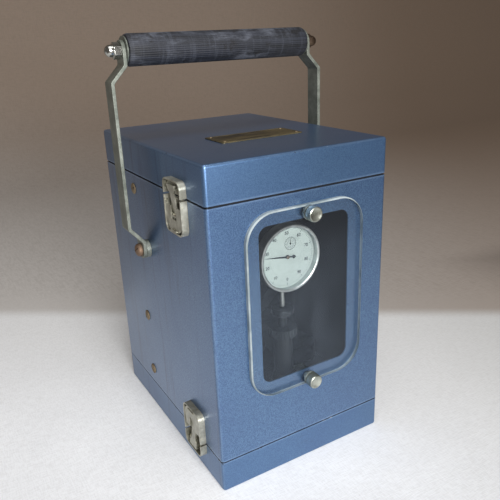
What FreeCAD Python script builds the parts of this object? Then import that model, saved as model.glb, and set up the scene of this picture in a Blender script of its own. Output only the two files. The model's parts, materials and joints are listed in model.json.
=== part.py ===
import FreeCAD, Part
import math
import os

from FreeCAD import Vector

# Boxed load-measuring device for testing concrete: a load ring between two
# square platens, read by a dial gauge through the window of a carrying case.
# Millimetres. X right and Y back as seen from the window side, Z up.
# The origin is the centre of the case's underside.

# Case
case_width = 165.0
case_depth = 217.0
case_height = 274.0
base_height = 29.0
lid_height = 30.0
sheet = 1.5
corner_radius = 3.0
lid_edge_radius = 2.5
base_edge_radius = 2.0
base_seam_gap = 0.6
lid_seam_gap = 1.2
frame_sheet = 1.2
frame_reach = 5.0
slide_gap = 0.4
weld_gap = 0.05
fit_gap = 0.1

# Window and its clear cover
window_shift = 1.5
window_width = 84.5
window_radius = 8.0
cover_width = 110.0
cover_top_margin = 10.8
cover_bottom_margin = 48.2
cover_overlap = 11.5
cover_thickness = 4.0
cover_radius = 24.0
cover_rim = 1.0
cover_gap = 0.2
thumb_shank_radius = 2.5
thumb_shank_reach = 12.0
thumb_collar_radius = 6.0
thumb_collar_thickness = 2.5
thumb_neck_radius = 4.2
thumb_neck_length = 1.0
thumb_head_radius = 6.0
thumb_head_length = 6.5
thumb_knurls = 20
thumb_knurl_depth = 0.5
thumb_wall_clearance = 0.5
thumb_cover_clearance = 0.15
bush_radius = 5.5
bush_length = 9.0

# Load ring, platens and load buttons
rear_clearance = 8.5
platen_depth = 130.0
platen_thickness = 18.0
platen_corner_radius = 14.0
platen_edge_chamfer = 1.0
lid_seam_to_platen = 5.0
base_seam_to_platen = 7.0
rail_thickness = 5.0
rail_width = 26.0
rail_end_gap = 0.5
rail_screw_radius = 2.5
rail_screw_reach = 12.0
rail_screw_head_radius = 5.0
rail_screw_head_height = 1.6
rail_screw_head_chamfer = 1.1
middle_screw_drop = 33.0
middle_screw_end = 1.5
ring_outer_radius = 63.0
ring_inner_radius = 50.0
ring_width = 46.0
boss_radius = 23.0
spigot_radius = 10.0
spigot_length = 8.0
button_radius = 35.0
button_chamfer = 2.0
button_height = 19.0
button_flange_radius = 40.0
button_flange_thickness = 3.0
button_lift_off = 0.3
ball_seat_radius = 25.0
retainer_outer_radius = 47.0
retainer_lip = 2.0
retainer_gap = 2.2
retainer_chamfer = 1.2
pad_thickness = 6.3
pad_radius = 45.0
pad_gap = 0.3

# Dial gauge
gauge_setback = 17.0
gauge_drop = 38.2
bezel_radius = 29.0
bezel_depth = 10.5
bezel_lip = 2.6
bezel_skirt = 3.0
bezel_running_gap = 0.3
gauge_case_radius = 27.0
gauge_case_depth = 18.0
gauge_front_wall = 1.2
gauge_wall = 1.5
crystal_thickness = 1.5
crystal_setback = 1.2
dial_plate_thickness = 0.6
dial_setback = 6.8
dial_split_radius = 17.0
counter_offset = 10.8
counter_offset_x = 3.4
pointer_rise = 8.0
pointer_length = 24.8
pointer_tail = 8.0
pointer_thickness = 0.35
pointer_hub_radius = 1.7
pointer_arbor_radius = 0.6
counter_pointer_length = 4.2
counter_arbor_radius = 0.45
gauge_back_thickness = 2.0
gauge_lug_radius = 7.0
gauge_lug_length = 5.0
lug_screw_radius = 2.5
stem_radius = 4.0
stem_length = 4.5
spindle_radius = 2.0
spindle_top_room = 8.5
contact_radius = 2.4
contact_chamfer = 1.4
contact_length = 8.0
contact_gap = 0.3
gauge_to_anvil = 49.2
anvil_disc_radius = 9.75
anvil_disc_thickness = 5.5
anvil_thread_radius = 4.0
anvil_thread_depth = 16.0
lock_nut_radius = 12.5
lock_nut_thickness = 7.5
lock_nut_drop = 25.1
anvil_post_radius = 8.5
anvil_post_foot_radius = 12.0
arm_width = 34.0
arm_thickness = 8.0
arm_overlap = 22.0
arm_screw_spread = 10.0
arm_screw_radius = 3.0
arm_screw_head_radius = 5.0
arm_screw_head_height = 6.0
arm_screw_bite = 10.0
bracket_thickness = 6.0

# Handle
handle_ahead_of_load = 22.0
pivot_drop = 64.0
grip_rise = 72.6
pivot_shank_radius = 4.0
pivot_head_radius = 5.8
pivot_head_height = 5.0
pivot_head_chamfer = 2.4
pivot_slot_width = 1.4
pivot_slot_depth = 1.4
pivot_washer_thickness = 4.0
pivot_washer_radius = 8.0
pivot_nut_flats = 13.0
pivot_nut_height = 6.5
strap_width = 16.0
strap_thickness = 3.0
strap_run_offset = 16.0
strap_top_offset = 3.9
strap_gap = 0.15
lower_bend_start = 9.0
lower_bend_end = 22.6
upper_bend_start = 12.0
upper_bend_end = 24.5
strap_bend_radius = 3.0
grip_radius = 12.6
grip_bore_radius = 4.3
grip_end_chamfer = 1.6
grip_end_gap = 0.3
handle_rod_radius = 4.0
end_washer_radius = 11.0
end_washer_thickness = 1.2
acorn_flats = 11.5
acorn_hex_length = 5.5
acorn_dome_radius = 4.8
acorn_length = 12.0
acorn_blind = 3.0
acorn_end_room = 0.3

# Toggle latches: two at the lid seam and two at the base seam
latch_setback = 44.5
latch_half_width = 15.5
latch_sheet = 1.0
latch_flange = 1.2
latch_flange_height = 5.6
latch_seam_setback = 0.3
latch_plate_length = 28.0
latch_corner_radius = 6.0
keeper_length = 12.4
keeper_lip_near = 6.0
keeper_lip_thickness = 1.2
keeper_lip_height = 4.2
keeper_lip_half_width = 6.5
keeper_rivet_across = 10.0
keeper_rivet_along = 8.0
keeper_rivet_radius = 3.2
keeper_rivet_height = 2.4
keeper_rivet_chamfer = 1.4
latch_pivot_out = 3.4
latch_pivot_along = 6.0
latch_pivot_radius = 0.9
latch_pivot_end = 0.7
latch_pivot_grip = 0.4
latch_pin_clearance = 0.02
lever_side_gap = 0.6
lever_sheet = 1.0
lever_low = 1.5
lever_high = 5.0
lever_end_along = 27.0
lever_nose_radius = 8.0
lever_ear_radius = 1.9
lever_web_start = 1.6
lever_slot_half_width = 4.6
lever_slot_end = 2.4
lever_lip_half_width = 5.0
lever_lip_thickness = 1.2
lever_lip_rise = 1.4
link_out = 2.4
link_along = 15.5
link_rod_radius = 1.1
link_half_width = 3.5
link_sheet = 1.2
link_eye_wall = 0.9
link_tilt = 7.0
link_head_half_width = 6.3
link_head_start = 3.0
link_head_slope = 2.5
claw_gap = 0.8
claw_bite = 1.0
claw_thickness = 1.3

# Name plate on the lid, left bare
plate_width = 78.0
plate_depth = 33.0
plate_thickness = 0.8
plate_corner_radius = 2.5
plate_centre_x = 6.0
plate_centre_y = -29.0

# Sizes that follow from the ones above
half_width = case_width / 2
half_depth = case_depth / 2
inner_half_width = half_width - sheet
inner_half_depth = half_depth - sheet
lid_seam_z = case_height - lid_height
base_top_z = base_height - base_seam_gap / 2
body_bottom_z = base_height + base_seam_gap / 2
body_top_z = lid_seam_z - lid_seam_gap / 2
lid_bottom_z = lid_seam_z + lid_seam_gap / 2

load_axis_y = half_depth - rear_clearance - platen_depth / 2
pivot_y = load_axis_y - handle_ahead_of_load
upper_platen_top = lid_seam_z - lid_seam_to_platen
upper_platen_bottom = upper_platen_top - platen_thickness
lower_platen_bottom = base_height + base_seam_to_platen
lower_platen_top = lower_platen_bottom + platen_thickness
platen_half_width = inner_half_width - rail_thickness - fit_gap
platen_front_y = load_axis_y - platen_depth / 2
ring_centre_z = (lower_platen_top + upper_platen_bottom) / 2
upper_screw_z = (upper_platen_top + upper_platen_bottom) / 2
lower_screw_z = (lower_platen_top + lower_platen_bottom) / 2
middle_screw_z = ring_centre_z - middle_screw_drop
button_top_z = upper_platen_top + button_height
pad_top_z = sheet + pad_thickness

cover_top_z = lid_seam_z - cover_top_margin
cover_bottom_z = base_height + cover_bottom_margin
cover_height = cover_top_z - cover_bottom_z
window_centre_z = (cover_top_z + cover_bottom_z) / 2
window_height = cover_height - 2 * cover_overlap
cover_back_y = -half_depth - cover_gap
cover_front_y = cover_back_y - cover_thickness
thumb_offset = (cover_height + window_height) / 4

gauge_centre_z = upper_platen_bottom - gauge_drop
anvil_top_z = gauge_centre_z - gauge_to_anvil
lock_nut_z = anvil_top_z - lock_nut_drop
bezel_front_y = -half_depth + gauge_setback
dial_front_y = bezel_front_y + dial_setback
gauge_case_front_y = bezel_front_y + bezel_depth - bezel_skirt
gauge_case_back_y = gauge_case_front_y + gauge_case_depth
gauge_axis_y = gauge_case_front_y + gauge_case_depth / 2 - 1.0
gauge_back_y = gauge_case_back_y + gauge_back_thickness
bracket_front_y = gauge_back_y + gauge_lug_length
contact_bottom_z = anvil_top_z + contact_gap
gauge_floor_z = gauge_centre_z - gauge_case_radius

pivot_z = lid_seam_z - pivot_drop
grip_z = case_height + grip_rise
strap_low_in = half_width + pivot_washer_thickness + strap_gap
strap_run_in = half_width + strap_run_offset
strap_top_in = half_width + strap_top_offset
latch_y = -half_depth + latch_setback


def box(low, high):
    """Block between two opposite corners."""
    size = [high[i] - low[i] for i in range(3)]
    return Part.makeBox(size[0], size[1], size[2], Vector(*low))


def cylinder(radius, start, end):
    """Round bar between two points."""
    a = Vector(*start)
    b = Vector(*end)
    return Part.makeCylinder(radius, (b - a).Length, a, b - a)


def tube(outer, inner, start, end):
    return cylinder(outer, start, end).cut(cylinder(inner, start, end))


def join(shapes):
    """Fuse solids and clean the seams between them."""
    result = shapes[0].fuse(shapes[1:])
    return result.removeSplitter()


def edges_along(shape, axis, test=None):
    """Straight edges parallel to an axis, narrowed by a test on the midpoint."""
    found = []
    for edge in shape.Edges:
        if edge.Curve.TypeId != "Part::GeomLine":
            continue
        a = edge.Vertexes[0].Point
        b = edge.Vertexes[-1].Point
        run = (b - a).normalize()
        if abs(abs(run.dot(axis)) - 1) > 1e-6:
            continue
        if test is None or test((a + b) * 0.5):
            found.append(edge)
    return found


def edges_at(shape, test):
    """All edges whose bounding box centre passes a test."""
    return [edge for edge in shape.Edges if test(edge.BoundBox)]


X = Vector(1, 0, 0)
Y = Vector(0, 1, 0)
Z = Vector(0, 0, 1)


def rounded_block(half_x, half_y, z0, z1, radius, centre=(0, 0)):
    """Upright block with rounded vertical edges."""
    cx, cy = centre
    block = box((cx - half_x, cy - half_y, z0), (cx + half_x, cy + half_y, z1))
    if radius > 0.01:
        block = block.makeFillet(radius, edges_along(block, Z))
    return block


def window_panel(width, height, y0, y1, radius):
    """Panel in line with the window, with rounded corners."""
    low = (window_shift - width / 2, y0, window_centre_z - height / 2)
    high = (window_shift + width / 2, y1, window_centre_z + height / 2)
    panel = box(low, high)
    return panel.makeFillet(radius, edges_along(panel, Y))


def mirror_x(shape):
    return shape.mirror(Vector(0, 0, 0), X)


def both_sides(shape):
    """The piece on the left wall and its twin on the right."""
    return Part.makeCompound([shape, mirror_x(shape)])


def hexagon_x(flats, x0, x1, y, z):
    """Hexagonal bar along X."""
    corner = flats / math.sqrt(3)
    points = []
    for i in range(7):
        angle = math.radians(60 * i + 30)
        points.append(Vector(x0, y + corner * math.cos(angle), z + corner * math.sin(angle)))
    return Part.Face(Part.makePolygon(points)).extrude(Vector(x1 - x0, 0, 0))


# Case shells

def wall_holes():
    """Drillings through the side and front walls of the body."""
    holes = []
    for z in (upper_screw_z, middle_screw_z, lower_screw_z):
        hole = (half_width + sheet, load_axis_y, z)
        holes.append(cylinder(rail_screw_radius + fit_gap, (-hole[0], hole[1], z), hole))
    holes.append(cylinder(pivot_shank_radius + fit_gap, (-half_width - sheet, pivot_y, pivot_z),
                          (half_width + sheet, pivot_y, pivot_z)))
    for side in (-1, 1):
        z = window_centre_z + side * thumb_offset
        holes.append(cylinder(thumb_shank_radius + thumb_wall_clearance, (window_shift, -half_depth - sheet, z),
                              (window_shift, -inner_half_depth + sheet, z)))
    return holes


def build_case_shell():
    """Body of the case: a sheet tube with the window cut in its front wall."""
    outer = rounded_block(half_width, half_depth, body_bottom_z, body_top_z, corner_radius)
    inner = rounded_block(inner_half_width, inner_half_depth, body_bottom_z, body_top_z,
                          corner_radius - sheet)
    window = window_panel(window_width, window_height, -half_depth - sheet, -inner_half_depth + sheet,
                          window_radius)
    return outer.cut(inner).cut(window).cut(wall_holes())


def build_locating_frame(seam_z, up):
    """Joggled strip round the inside of a seam: welded in the body, it
    reaches past the seam into the lid or the base."""
    body_end = seam_z - up * frame_reach
    free_end = seam_z + up * frame_reach
    seam_edge = seam_z
    welded = frame_ring(min(body_end, seam_edge), max(body_end, seam_edge), weld_gap)
    free = frame_ring(min(free_end, seam_edge), max(free_end, seam_edge), slide_gap)
    return join([welded, free])


def frame_ring(z0, z1, gap):
    outer = rounded_block(inner_half_width - gap, inner_half_depth - gap, z0, z1, corner_radius - sheet)
    inset = slide_gap + frame_sheet
    inner = rounded_block(inner_half_width - inset, inner_half_depth - inset, z0, z1, 1.0)
    return outer.cut(inner)


def build_lid_shell():
    """Folded lid, open below, with a softly rounded top edge."""
    outer = rounded_block(half_width, half_depth, lid_bottom_z, case_height, corner_radius)
    top = edges_at(outer, lambda b: b.ZMin > case_height - 0.01)
    outer = outer.makeFillet(lid_edge_radius, top)
    inner = rounded_block(inner_half_width, inner_half_depth, lid_bottom_z, case_height - sheet,
                          corner_radius - sheet)
    return outer.cut(inner)


def build_base_tray():
    """Folded tray that the case stands on."""
    outer = rounded_block(half_width, half_depth, 0, base_top_z, corner_radius)
    bottom = edges_at(outer, lambda b: b.ZMax < 0.01)
    outer = outer.makeFillet(base_edge_radius, bottom)
    inner = rounded_block(inner_half_width, inner_half_depth, sheet, base_top_z,
                          corner_radius - sheet)
    return outer.cut(inner)


def build_base_pad():
    """Resilient pad that the lower load button stands on."""
    return cylinder(pad_radius, (0, load_axis_y, sheet), (0, load_axis_y, pad_top_z))


def build_name_plate():
    """Plate on the lid, left bare."""
    return rounded_block(plate_width / 2, plate_depth / 2, case_height, case_height + plate_thickness,
                         plate_corner_radius, (plate_centre_x, plate_centre_y))


# Window cover

def build_window_cover():
    """Clear plate over the window, on the outside of the case."""
    cover = window_panel(cover_width, cover_height, cover_front_y, cover_back_y, cover_radius)
    rim = edges_at(cover, lambda b: b.YMax < cover_front_y + 0.01)
    cover = cover.makeChamfer(cover_rim, rim)
    for side in (-1, 1):
        z = window_centre_z + side * thumb_offset
        cover = cover.cut(cylinder(thumb_shank_radius + thumb_cover_clearance, (window_shift, cover_front_y, z),
                                   (window_shift, cover_back_y, z)))
    return cover


def knurled_disc(radius, start, end, count, depth):
    """Round disc with straight grooves round its rim."""
    disc = cylinder(radius, start, end)
    a = Vector(*start)
    run = Vector(*end) - a
    across = Vector(0, 0, 1) if abs(run.z) < 1e-6 else Vector(1, 0, 0)
    side = run.cross(across).normalize()
    half = depth * 0.9
    cuts = []
    for i in range(count):
        turn = 2 * math.pi * i / count
        out = across * math.cos(turn) + side * math.sin(turn)
        flat = side * math.cos(turn) - across * math.sin(turn)
        tip = a + out * (radius - depth)
        rim = out * (radius + depth)
        points = [tip, a + rim + flat * half * 2, a + rim - flat * half * 2, tip]
        cuts.append(Part.Face(Part.makePolygon(points)).extrude(run))
    return disc.cut(cuts)


def build_thumb_screw(side):
    x = window_shift
    z = window_centre_z + side * thumb_offset
    front = cover_front_y
    collar_front = front - thumb_collar_thickness
    neck_front = collar_front - thumb_neck_length
    head_front = neck_front - thumb_head_length
    shank = cylinder(thumb_shank_radius, (x, neck_front, z), (x, cover_back_y + thumb_shank_reach, z))
    collar = knurled_disc(thumb_collar_radius, (x, collar_front, z), (x, front - weld_gap, z),
                          thumb_knurls, thumb_knurl_depth)
    neck = cylinder(thumb_neck_radius, (x, neck_front, z), (x, collar_front, z))
    head = knurled_disc(thumb_head_radius, (x, head_front, z), (x, neck_front, z),
                        thumb_knurls, thumb_knurl_depth)
    return join([shank, collar, neck, head])


def build_thumb_screw_bushes():
    """Threaded bushes welded behind the front wall."""
    bushes = []
    for side in (-1, 1):
        z = window_centre_z + side * thumb_offset
        start = (window_shift, -inner_half_depth, z)
        end = (window_shift, -inner_half_depth + bush_length, z)
        bushes.append(tube(bush_radius, thumb_shank_radius + fit_gap, start, end))
    return Part.makeCompound(bushes)


# Load ring and platens

def platen(z0, z1):
    plate = rounded_block(platen_half_width, platen_depth / 2, z0, z1, platen_corner_radius,
                          (0, load_axis_y))
    rims = edges_at(plate, lambda b: b.ZLength < 0.01)
    plate = plate.makeChamfer(platen_edge_chamfer, rims)
    middle = (z0 + z1) / 2
    side_hole = rail_screw_reach - sheet - rail_thickness + 1
    for side in (-1, 1):
        plate = plate.cut(cylinder(rail_screw_radius + fit_gap,
                                   (side * (platen_half_width - side_hole), load_axis_y, middle),
                                   (side * (platen_half_width + 1), load_axis_y, middle)))
    return plate


def arm_screw_places():
    y = platen_front_y + arm_overlap / 2
    return [(-arm_screw_spread, y), (arm_screw_spread, y)]


def build_lower_platen():
    plate = platen(lower_platen_bottom, lower_platen_top)
    socket = cylinder(spigot_radius + fit_gap, (0, load_axis_y, lower_platen_top - spigot_length - 0.3),
                      (0, load_axis_y, lower_platen_top + 1))
    holes = [cylinder(arm_screw_radius + fit_gap, (x, y, lower_platen_top - arm_screw_bite - 1),
                      (x, y, lower_platen_top + 1)) for x, y in arm_screw_places()]
    return plate.cut(socket).cut(holes)


def build_upper_platen():
    plate = platen(upper_platen_bottom, upper_platen_top)
    socket = cylinder(spigot_radius + fit_gap, (0, load_axis_y, upper_platen_bottom - 1),
                      (0, load_axis_y, upper_platen_bottom + spigot_length + 0.3))
    seat = Part.makeSphere(ball_seat_radius + button_lift_off, Vector(0, load_axis_y, button_top_z))
    holes = [cylinder(arm_screw_radius + fit_gap, (x, y, upper_platen_bottom - 1),
                      (x, y, upper_platen_bottom + arm_screw_bite + 1)) for x, y in arm_screw_places()]
    return plate.cut(socket).cut(seat).cut(holes)


def build_lower_load_button():
    """Bearing block under the lower platen, reaching down to the base pad."""
    block = cylinder(button_radius, (0, load_axis_y, pad_top_z + pad_gap),
                     (0, load_axis_y, lower_platen_bottom))
    rim = edges_at(block, lambda b: b.ZMax < pad_top_z + pad_gap + 0.01 and b.XLength > 1)
    return block.makeChamfer(button_chamfer, rim)


def build_upper_load_button():
    """Swivelling bearing block: its ball face is centred on its top face."""
    centre = Vector(0, load_axis_y, button_top_z)
    foot_z = upper_platen_top + retainer_gap
    ball = Part.makeSphere(ball_seat_radius, centre)
    ball = ball.common(box((-button_radius, load_axis_y - button_radius, 0),
                           (button_radius, load_axis_y + button_radius, foot_z + 0.5)))
    flange = cylinder(button_flange_radius, (0, load_axis_y, foot_z),
                      (0, load_axis_y, foot_z + button_flange_thickness))
    block = cylinder(button_radius, (0, load_axis_y, foot_z), (0, load_axis_y, button_top_z))
    rim = edges_at(block, lambda b: b.ZMin > button_top_z - 0.01 and b.XLength > 1)
    block = block.makeChamfer(button_chamfer, rim)
    return join([block, flange, ball])


def build_button_retainer():
    """Ring screwed on the platen, with a lip over the button's flange."""
    low = upper_platen_top
    flange_top = low + retainer_gap + button_flange_thickness
    lip_z = flange_top + retainer_gap
    outer = cylinder(retainer_outer_radius, (0, load_axis_y, low), (0, load_axis_y, lip_z + retainer_lip))
    well = cylinder(button_flange_radius + 1.0, (0, load_axis_y, low), (0, load_axis_y, lip_z))
    mouth = cylinder(button_radius + 1.5, (0, load_axis_y, low), (0, load_axis_y, lip_z + retainer_lip))
    ring = outer.cut(well).cut(mouth)
    rim = edges_at(ring, lambda b: b.ZMin > lip_z + retainer_lip - 0.01
                   and b.XLength > 2 * button_flange_radius + 4)
    return ring.makeChamfer(retainer_chamfer, rim)


def build_load_ring():
    """Steel ring with a boss above and below, each with a spigot in its platen."""
    half = ring_width / 2
    low = (0, load_axis_y - half, ring_centre_z)
    high = (0, load_axis_y + half, ring_centre_z)
    outer = cylinder(ring_outer_radius, low, high)
    outer_bosses = cylinder(boss_radius, (0, load_axis_y, lower_platen_top),
                            (0, load_axis_y, upper_platen_bottom))
    spigots = cylinder(spigot_radius, (0, load_axis_y, lower_platen_top - spigot_length),
                       (0, load_axis_y, upper_platen_bottom + spigot_length))
    ring = join([outer, outer_bosses, spigots])
    ring = ring.cut(cylinder(ring_inner_radius, (0, load_axis_y - half - 30, ring_centre_z),
                             (0, load_axis_y + half + 30, ring_centre_z)))
    return ring


def build_side_rails():
    """Bars that tie both platens to the side walls of the case."""
    x0 = -inner_half_width + weld_gap
    x1 = -inner_half_width + rail_thickness
    low = base_height + frame_reach + rail_end_gap
    high = lid_seam_z - frame_reach - rail_end_gap
    rail = box((x0, load_axis_y - rail_width / 2, low), (x1, load_axis_y + rail_width / 2, high))
    for z in (upper_screw_z, middle_screw_z, lower_screw_z):
        rail = rail.cut(cylinder(rail_screw_radius + fit_gap, (x0 - 1, load_axis_y, z), (x1 + 1, load_axis_y, z)))
    return both_sides(rail)


def build_side_rail_screws():
    """Round-head screws, three in each side wall."""
    screws = []
    for z in (upper_screw_z, middle_screw_z, lower_screw_z):
        tip = -half_width + rail_screw_reach
        if z == middle_screw_z:
            tip = -inner_half_width + rail_thickness + middle_screw_end
        head_x = -half_width - rail_screw_head_height
        shank = cylinder(rail_screw_radius, (-half_width, load_axis_y, z), (tip, load_axis_y, z))
        head = cylinder(rail_screw_head_radius, (head_x, load_axis_y, z), (-half_width, load_axis_y, z))
        rim = edges_at(head, lambda b: b.XMax < head_x + 0.01)
        screws.append(join([shank, head.makeChamfer(rail_screw_head_chamfer, rim)]))
    return Part.makeCompound(screws + [mirror_x(screw) for screw in screws])


# Gauge support

def build_gauge_bracket():
    """Angle under the upper platen's front edge that carries the gauge by its lug."""
    top = upper_platen_bottom
    low = gauge_centre_z - gauge_lug_radius - 4
    half = arm_width / 2
    shelf = box((-half, bracket_front_y, top - bracket_thickness), (half, platen_front_y + arm_overlap, top))
    leg = box((-half, bracket_front_y, low), (half, bracket_front_y + bracket_thickness, top))
    angle = join([shelf, leg])
    lower_corners = edges_along(angle, Y, lambda m: m.z < low + 0.1)
    angle = angle.makeFillet(half * 0.6, lower_corners)
    inside = edges_along(angle, X, lambda m: abs(m.z - (top - bracket_thickness)) < 0.01
                         and abs(m.y - bracket_front_y - bracket_thickness) < 0.01)
    angle = angle.makeFillet(3.0, inside)
    holes = [cylinder(arm_screw_radius + fit_gap, (x, y, top - 20), (x, y, top + 1))
             for x, y in arm_screw_places()]
    holes.append(cylinder(lug_screw_radius + fit_gap, (0, bracket_front_y - 1, gauge_centre_z),
                          (0, bracket_front_y + bracket_thickness + 1, gauge_centre_z)))
    return angle.cut(holes)


def build_anvil_arm():
    """Arm on the lower platen's front edge with the post that carries the anvil."""
    low = lower_platen_top
    top = low + arm_thickness
    post_top = lock_nut_z - fit_gap
    half = arm_width / 2
    beam = box((-half, gauge_axis_y, low), (half, platen_front_y + arm_overlap, top))
    nose = cylinder(half, (0, gauge_axis_y, low), (0, gauge_axis_y, top))
    foot = Part.makeCone(anvil_post_foot_radius, anvil_post_radius, 10.0, Vector(0, gauge_axis_y, top), Z)
    post = cylinder(anvil_post_radius, (0, gauge_axis_y, top), (0, gauge_axis_y, post_top))
    arm = join([beam, nose, foot, post])
    bore_bottom = anvil_top_z - anvil_disc_thickness - lock_nut_thickness - 14 - anvil_thread_depth
    arm = arm.cut(cylinder(anvil_thread_radius + fit_gap, (0, gauge_axis_y, bore_bottom),
                           (0, gauge_axis_y, post_top + 1)))
    holes = [cylinder(arm_screw_radius + fit_gap, (x, y, low - 1), (x, y, top + 1))
             for x, y in arm_screw_places()]
    return arm.cut(holes)


def build_arm_screws():
    """Cap screws: two up into the upper platen, two down into the lower one."""
    screws = []
    for x, y in arm_screw_places():
        for face, way, plate in ((upper_platen_bottom, 1, bracket_thickness),
                                 (lower_platen_top, -1, arm_thickness)):
            seat = face - way * plate
            shank = cylinder(arm_screw_radius, (x, y, seat), (x, y, face + way * arm_screw_bite))
            head = cylinder(arm_screw_head_radius, (x, y, seat - way * arm_screw_head_height), (x, y, seat))
            key = hexagon_z(5.0, seat - way * arm_screw_head_height, seat - way * 3.0, x, y)
            screws.append(join([shank, head]).cut(key))
    return Part.makeCompound(screws)


def hexagon_z(flats, z0, z1, x, y):
    corner = flats / math.sqrt(3)
    points = []
    for i in range(7):
        angle = math.radians(60 * i)
        points.append(Vector(x + corner * math.cos(angle), y + corner * math.sin(angle), z0))
    return Part.Face(Part.makePolygon(points)).extrude(Vector(0, 0, z1 - z0))


def build_anvil_screw():
    """Adjustable anvil: a flat disc on a threaded stem."""
    disc_low = anvil_top_z - anvil_disc_thickness
    tip = lock_nut_z - anvil_thread_depth + 4
    stem = cylinder(anvil_thread_radius, (0, gauge_axis_y, tip), (0, gauge_axis_y, disc_low))
    disc = cylinder(anvil_disc_radius, (0, gauge_axis_y, disc_low), (0, gauge_axis_y, anvil_top_z))
    rims = edges_at(disc, lambda b: b.ZLength < 0.01)
    disc = disc.makeChamfer(0.6, rims)
    return join([stem, disc])


def build_anvil_lock_nut():
    low = (0, gauge_axis_y, lock_nut_z)
    high = (0, gauge_axis_y, lock_nut_z + lock_nut_thickness)
    nut = knurled_disc(lock_nut_radius, low, high, 28, 0.5)
    return nut.cut(cylinder(anvil_thread_radius + fit_gap, low, high))


# Dial gauge

def front_disc(radius, y0, y1, x=0.0, z=None):
    """Disc facing the front, on the gauge's centre unless told otherwise."""
    z = gauge_centre_z if z is None else z
    return cylinder(radius, (x, y0, z), (x, y1, z))


def build_gauge_case():
    """Round cup with the stem bush under it."""
    cup = front_disc(gauge_case_radius, gauge_case_front_y, gauge_case_back_y)
    stem = cylinder(stem_radius, (0, gauge_axis_y, gauge_floor_z - stem_length), (0, gauge_axis_y, gauge_floor_z + 3))
    cup = join([cup, stem])
    hollow = front_disc(gauge_case_radius - gauge_wall, gauge_case_front_y + gauge_front_wall, gauge_case_back_y)
    bore = cylinder(spindle_radius + fit_gap, (0, gauge_axis_y, gauge_floor_z - stem_length - 1),
                    (0, gauge_axis_y, gauge_floor_z + 4))
    inner_y = gauge_case_front_y + gauge_front_wall
    arbor = front_disc(pointer_arbor_radius + fit_gap, gauge_case_front_y, inner_y)
    counter = front_disc(counter_arbor_radius + fit_gap, gauge_case_front_y, inner_y,
                         x=counter_offset_x, z=gauge_centre_z + counter_offset)
    return cup.cut([hollow, bore, arbor, counter])


def build_gauge_back():
    """Back plate with the fixing lug."""
    plate = front_disc(gauge_case_radius, gauge_case_back_y, gauge_back_y)
    lug = front_disc(gauge_lug_radius, gauge_back_y, bracket_front_y)
    hole = front_disc(lug_screw_radius + fit_gap, gauge_back_y + 0.5, bracket_front_y + 1)
    return join([plate, lug]).cut(hole)


def build_gauge_lug_screw():
    back = bracket_front_y + bracket_thickness
    shank = front_disc(lug_screw_radius, gauge_back_y + 0.8, back)
    head = front_disc(lug_screw_radius * 1.8, back, back + 3.5)
    slot = box((-6, back + 2.4, gauge_centre_z - 0.5), (6, back + 4, gauge_centre_z + 0.5))
    return join([shank, head]).cut(slot)


def build_gauge_bezel():
    """Turning rim: a bright ring with a sloped inner lip and a skirt round the case."""
    back_y = bezel_front_y + bezel_depth
    lip_radius = bezel_radius - bezel_lip
    inner = gauge_case_radius + bezel_running_gap
    points = [(lip_radius, bezel_front_y + 0.4), (bezel_radius - 1.2, bezel_front_y),
              (bezel_radius, bezel_front_y + 1.4), (bezel_radius, back_y),
              (inner, back_y), (inner, bezel_front_y + crystal_setback + crystal_thickness + 0.2),
              (lip_radius, bezel_front_y + crystal_setback)]
    return turned_y(points)


def turned_y(points):
    """Body of revolution about the gauge's axis from (radius, y) points."""
    outline = [Vector(r, y, gauge_centre_z) for r, y in points]
    outline.append(outline[0])
    face = Part.Face(Part.makePolygon(outline))
    return face.revolve(Vector(0, 0, gauge_centre_z), Y, 360)


def build_gauge_crystal():
    """Clear disc under the bezel's lip."""
    front = bezel_front_y + crystal_setback
    return front_disc(gauge_case_radius - 0.9, front + 0.05, front + crystal_thickness)


def build_gauge_dial():
    """Outer ring of the dial, which turns with the bezel; the scale is printed on it."""
    back = dial_front_y + dial_plate_thickness - fit_gap
    ring = front_disc(gauge_case_radius + bezel_running_gap - fit_gap, dial_front_y, back)
    return ring.cut(front_disc(dial_split_radius, dial_front_y, back))


def build_sub_dial():
    """Middle of the dial, fixed on the gauge's case round both arbors."""
    plate = front_disc(dial_split_radius - fit_gap, dial_front_y, gauge_case_front_y)
    arbor = front_disc(pointer_arbor_radius + fit_gap, dial_front_y, gauge_case_front_y)
    counter = front_disc(counter_arbor_radius + fit_gap, dial_front_y, gauge_case_front_y,
                         x=counter_offset_x, z=gauge_centre_z + counter_offset)
    return plate.cut([arbor, counter])


def build_gauge_pointer():
    """Long pointer with a round counterweight, aimed to the left at rest."""
    y1 = dial_front_y - 1.1
    y0 = y1 - pointer_thickness
    z = gauge_centre_z
    blade = [Vector(-pointer_length, y0, z), Vector(-2.0, y0, z + 0.75), Vector(pointer_tail, y0, z + 0.35),
             Vector(pointer_tail, y0, z - 0.35), Vector(-2.0, y0, z - 0.75), Vector(-pointer_length, y0, z)]
    blade = Part.Face(Part.makePolygon(blade)).extrude(Vector(0, pointer_thickness, 0))
    weight = front_disc(1.5, y0, y1, x=pointer_tail - 2)
    hub = front_disc(pointer_hub_radius, y0 - 0.3, y1 + 0.4)
    arbor = front_disc(pointer_arbor_radius, y1, gauge_case_front_y + 1.5)
    pointer = join([blade, weight, hub, arbor])
    pointer.rotate(Vector(0, 0, z), Y, pointer_rise)
    return pointer


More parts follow.
